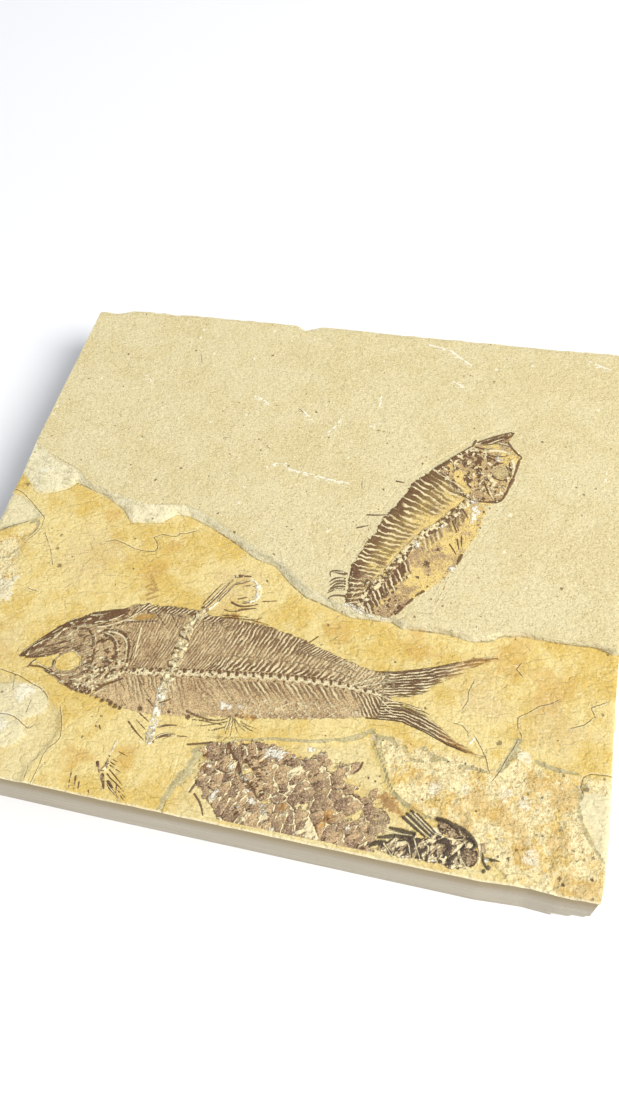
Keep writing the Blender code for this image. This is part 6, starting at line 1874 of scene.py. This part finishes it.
def bone_block(x, y, share, to_end, peak, ragged, seed):
    """Rings and top of one low bone: its height over the ground is peak * (1 - share ** 2) with noise, less
    a drop that takes its rim and ends under the ground, so that its outline is as ragged as the noise."""
    ground = ground_under(x, y)
    noise = layered(x, y, 0.8, seed, 3)
    rise = peak * (1.0 - share ** 2) * (0.8 + 0.5 * noise) + ragged * noise
    rise = rise - 0.22 * ease((np.abs(share) - 0.72) / 0.28) - 0.25 * (1.0 - ease(to_end / 0.4))
    underside = np.full(2 * sum(x.shape) - 4, ground.min() - 0.4)
    return ground + rise, [(rim_of(x), rim_of(y), underside)], noise


def skeleton_piece(name, column, vertebra, column_peak, bones, seed):
    """A skeleton made of its column, a wide strip of crumbled hourglasses, and of its thin bones. A dark bone
    is dark all over, a cored one dark with a cream middle, a white one chalky."""
    parts = []
    x, y, share, along, to_end = strip_grid(column, 1.0, 0.22, 17)
    z, rings, noise = bone_block(x, y, share * 0.96, to_end, column_peak, 0.14, seed)
    rough = layered(x, y, 0.75, seed + 10, 2)
    netted = ease((along - 0.34 * along.max()) / (0.12 * along.max()))
    pale, dark = backbone(share * 0.9, along / vertebra, rough * 1.6)
    crumbs = grit(x, y, 0.62, seed + 20, 1.6)
    pits = grit(x, y, 0.55, seed + 21, 1.5)
    plain = clamp(0.90 + 0.4 * rough - 0.3 * pits)
    net_dark = clamp(dark * 0.5 + pits * 0.95 - crumbs * 0.5)
    edge_dark = np.maximum(ease(rough * 1.6 - 0.7), ease((np.abs(share) - 0.7) / 0.15))
    masks = {
        "skin": np.ones_like(x),
        "tone": 0.45 + 0.5 * noise,
        "pale": blend(plain, clamp(0.45 * pale + 0.95 * crumbs), netted),
        "dark": netted * net_dark + (1.0 - netted) * edge_dark * 0.7,
        "chalk": (1.0 - netted) * (0.62 + 0.35 * rough) + 0.30 * netted * crumbs,
    }
    parts.append(block_parts(x, y, z, rings, masks))
    for i, (kind, half_width, path) in enumerate(bones):
        x, y, share, along, to_end = strip_grid(path, half_width * 1.15, 0.25, 9)
        z, rings, noise = bone_block(x, y, share, to_end, 0.16 + 0.25 * half_width, 0.03, seed + 30 + i)
        core = 1.0 - ease((np.abs(share) - 0.15 - 0.15 * noise) / 0.25)
        pale, dark, chalk = {
            "dark": (0.1 * noise, 0.75 + 0.5 * noise, 0.0),
            "cored": (core, 0.8 * (1.0 - core), 0.0),
            "white": (0.9 + 0.2 * noise, 0.1 * noise, 0.6),
        }[kind]
        masks = dict(skin=np.ones_like(x), tone=0.5 + 0.5 * noise, pale=pale, dark=dark,
                     chalk=chalk * (1.0 + noise))
        parts.append(block_parts(x, y, z, rings, masks))
    return made_piece(name, parts)


skeleton = skeleton_piece("crossing_skeleton_bones", CROSSING_COLUMN, CROSSING_VERTEBRA, CROSSING_PEAK,
                          CROSSING_BONES, 501)
cream_finish = fossil_finish("cream_bone", tan=(232, 216, 168), mauve=(196, 170, 124), bone=(72, 54, 42),
                             roughness=0.75)
skeleton.data.materials.append(cream_finish)
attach(skeleton, "root")
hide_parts("crossing_skeleton")

# The small skeleton
# A faint young fish by the front edge: a string of dots for its backbone, two dark blobs at its head, fine
# ribs to one side, loose bones that the saw cut through, and the traces of a fin above it.
# The backbone, its vertebrae and the thin bones, written as those of the crossing skeleton
SMALL_COLUMN = [
    (-25.0, -55.2, 0.20), (-25.3, -57.1, 0.28), (-25.5, -58.8, 0.34), (-25.4, -59.9, 0.44),
    (-25.4, -61.1, 0.52), (-25.8, -62.2, 0.52),
]
SMALL_VERTEBRA = 0.8
SMALL_PEAK = 0.25
SMALL_BONES = [
    ("dark", 0.38, [(-27.7, -60.3), (-27.1, -61.5), (-26.3, -62.8)]),
    ("dark", 0.48, [(-25.8, -62.7), (-24.9, -64.3), (-24.2, -65.7)]),
    ("dark", 0.10, [(-24.6, -59.4), (-23.0, -59.8)]), ("dark", 0.10, [(-24.0, -57.5), (-21.4, -58.2)]),
    ("dark", 0.30, [(-24.2, -63.8), (-22.2, -65.2)]),
    ("cored", 0.30, [(-26.6, -61.9), (-25.6, -62.0), (-24.9, -61.2)]),
    ("dark", 0.14, [(-24.9, -60.0), (-23.4, -60.5)]), ("dark", 0.14, [(-24.9, -60.6), (-21.7, -61.8)]),
    ("dark", 0.15, [(-24.6, -61.5), (-22.6, -62.8), (-20.4, -64.4)]),
    ("dark", 0.14, [(-24.8, -62.4), (-23.2, -63.6)]),
    ("dark", 0.15, [(-24.2, -63.0), (-21.8, -64.2), (-19.6, -65.6)]),
    ("cored", 0.28, [(-24.2, -64.3), (-22.6, -65.5), (-21.3, -66.3), (-20.2, -67.2)]),
    ("dark", 0.14, [(-21.4, -65.3), (-19.1, -66.5)]), ("dark", 0.16, [(-21.9, -64.0), (-21.4, -66.1)]),
    ("dark", 0.14, [(-20.4, -66.2), (-19.2, -67.2)]), ("cored", 0.24, [(-23.6, -65.0), (-22.1, -65.9)]),
    ("dark", 0.16, [(-32.6, -51.0), (-32.0, -51.6)]), ("dark", 0.16, [(-31.2, -52.0), (-30.7, -52.4)]),
    ("dark", 0.22, [(-31.0, -52.9), (-30.1, -53.8)]), ("dark", 0.18, [(-30.2, -52.6), (-29.3, -53.8)]),
    ("dark", 0.14, [(-29.5, -52.1), (-29.2, -52.5)]), ("dark", 0.16, [(-28.3, -53.6), (-28.6, -54.1)]),
    ("dark", 0.17, [(-32.5, -62.9), (-31.7, -67.1)]), ("dark", 0.17, [(-31.1, -63.9), (-30.4, -67.3)]),
    ("dark", 0.14, [(-29.9, -65.2), (-29.5, -67.1)]), ("dark", 0.14, [(-27.4, -66.3), (-27.0, -67.3)]),
]

small = skeleton_piece("small_skeleton_bones", SMALL_COLUMN, SMALL_VERTEBRA, SMALL_PEAK, SMALL_BONES, 601)
small.data.materials.append(brown_finish)
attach(small, "root")
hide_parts("small_skeleton")
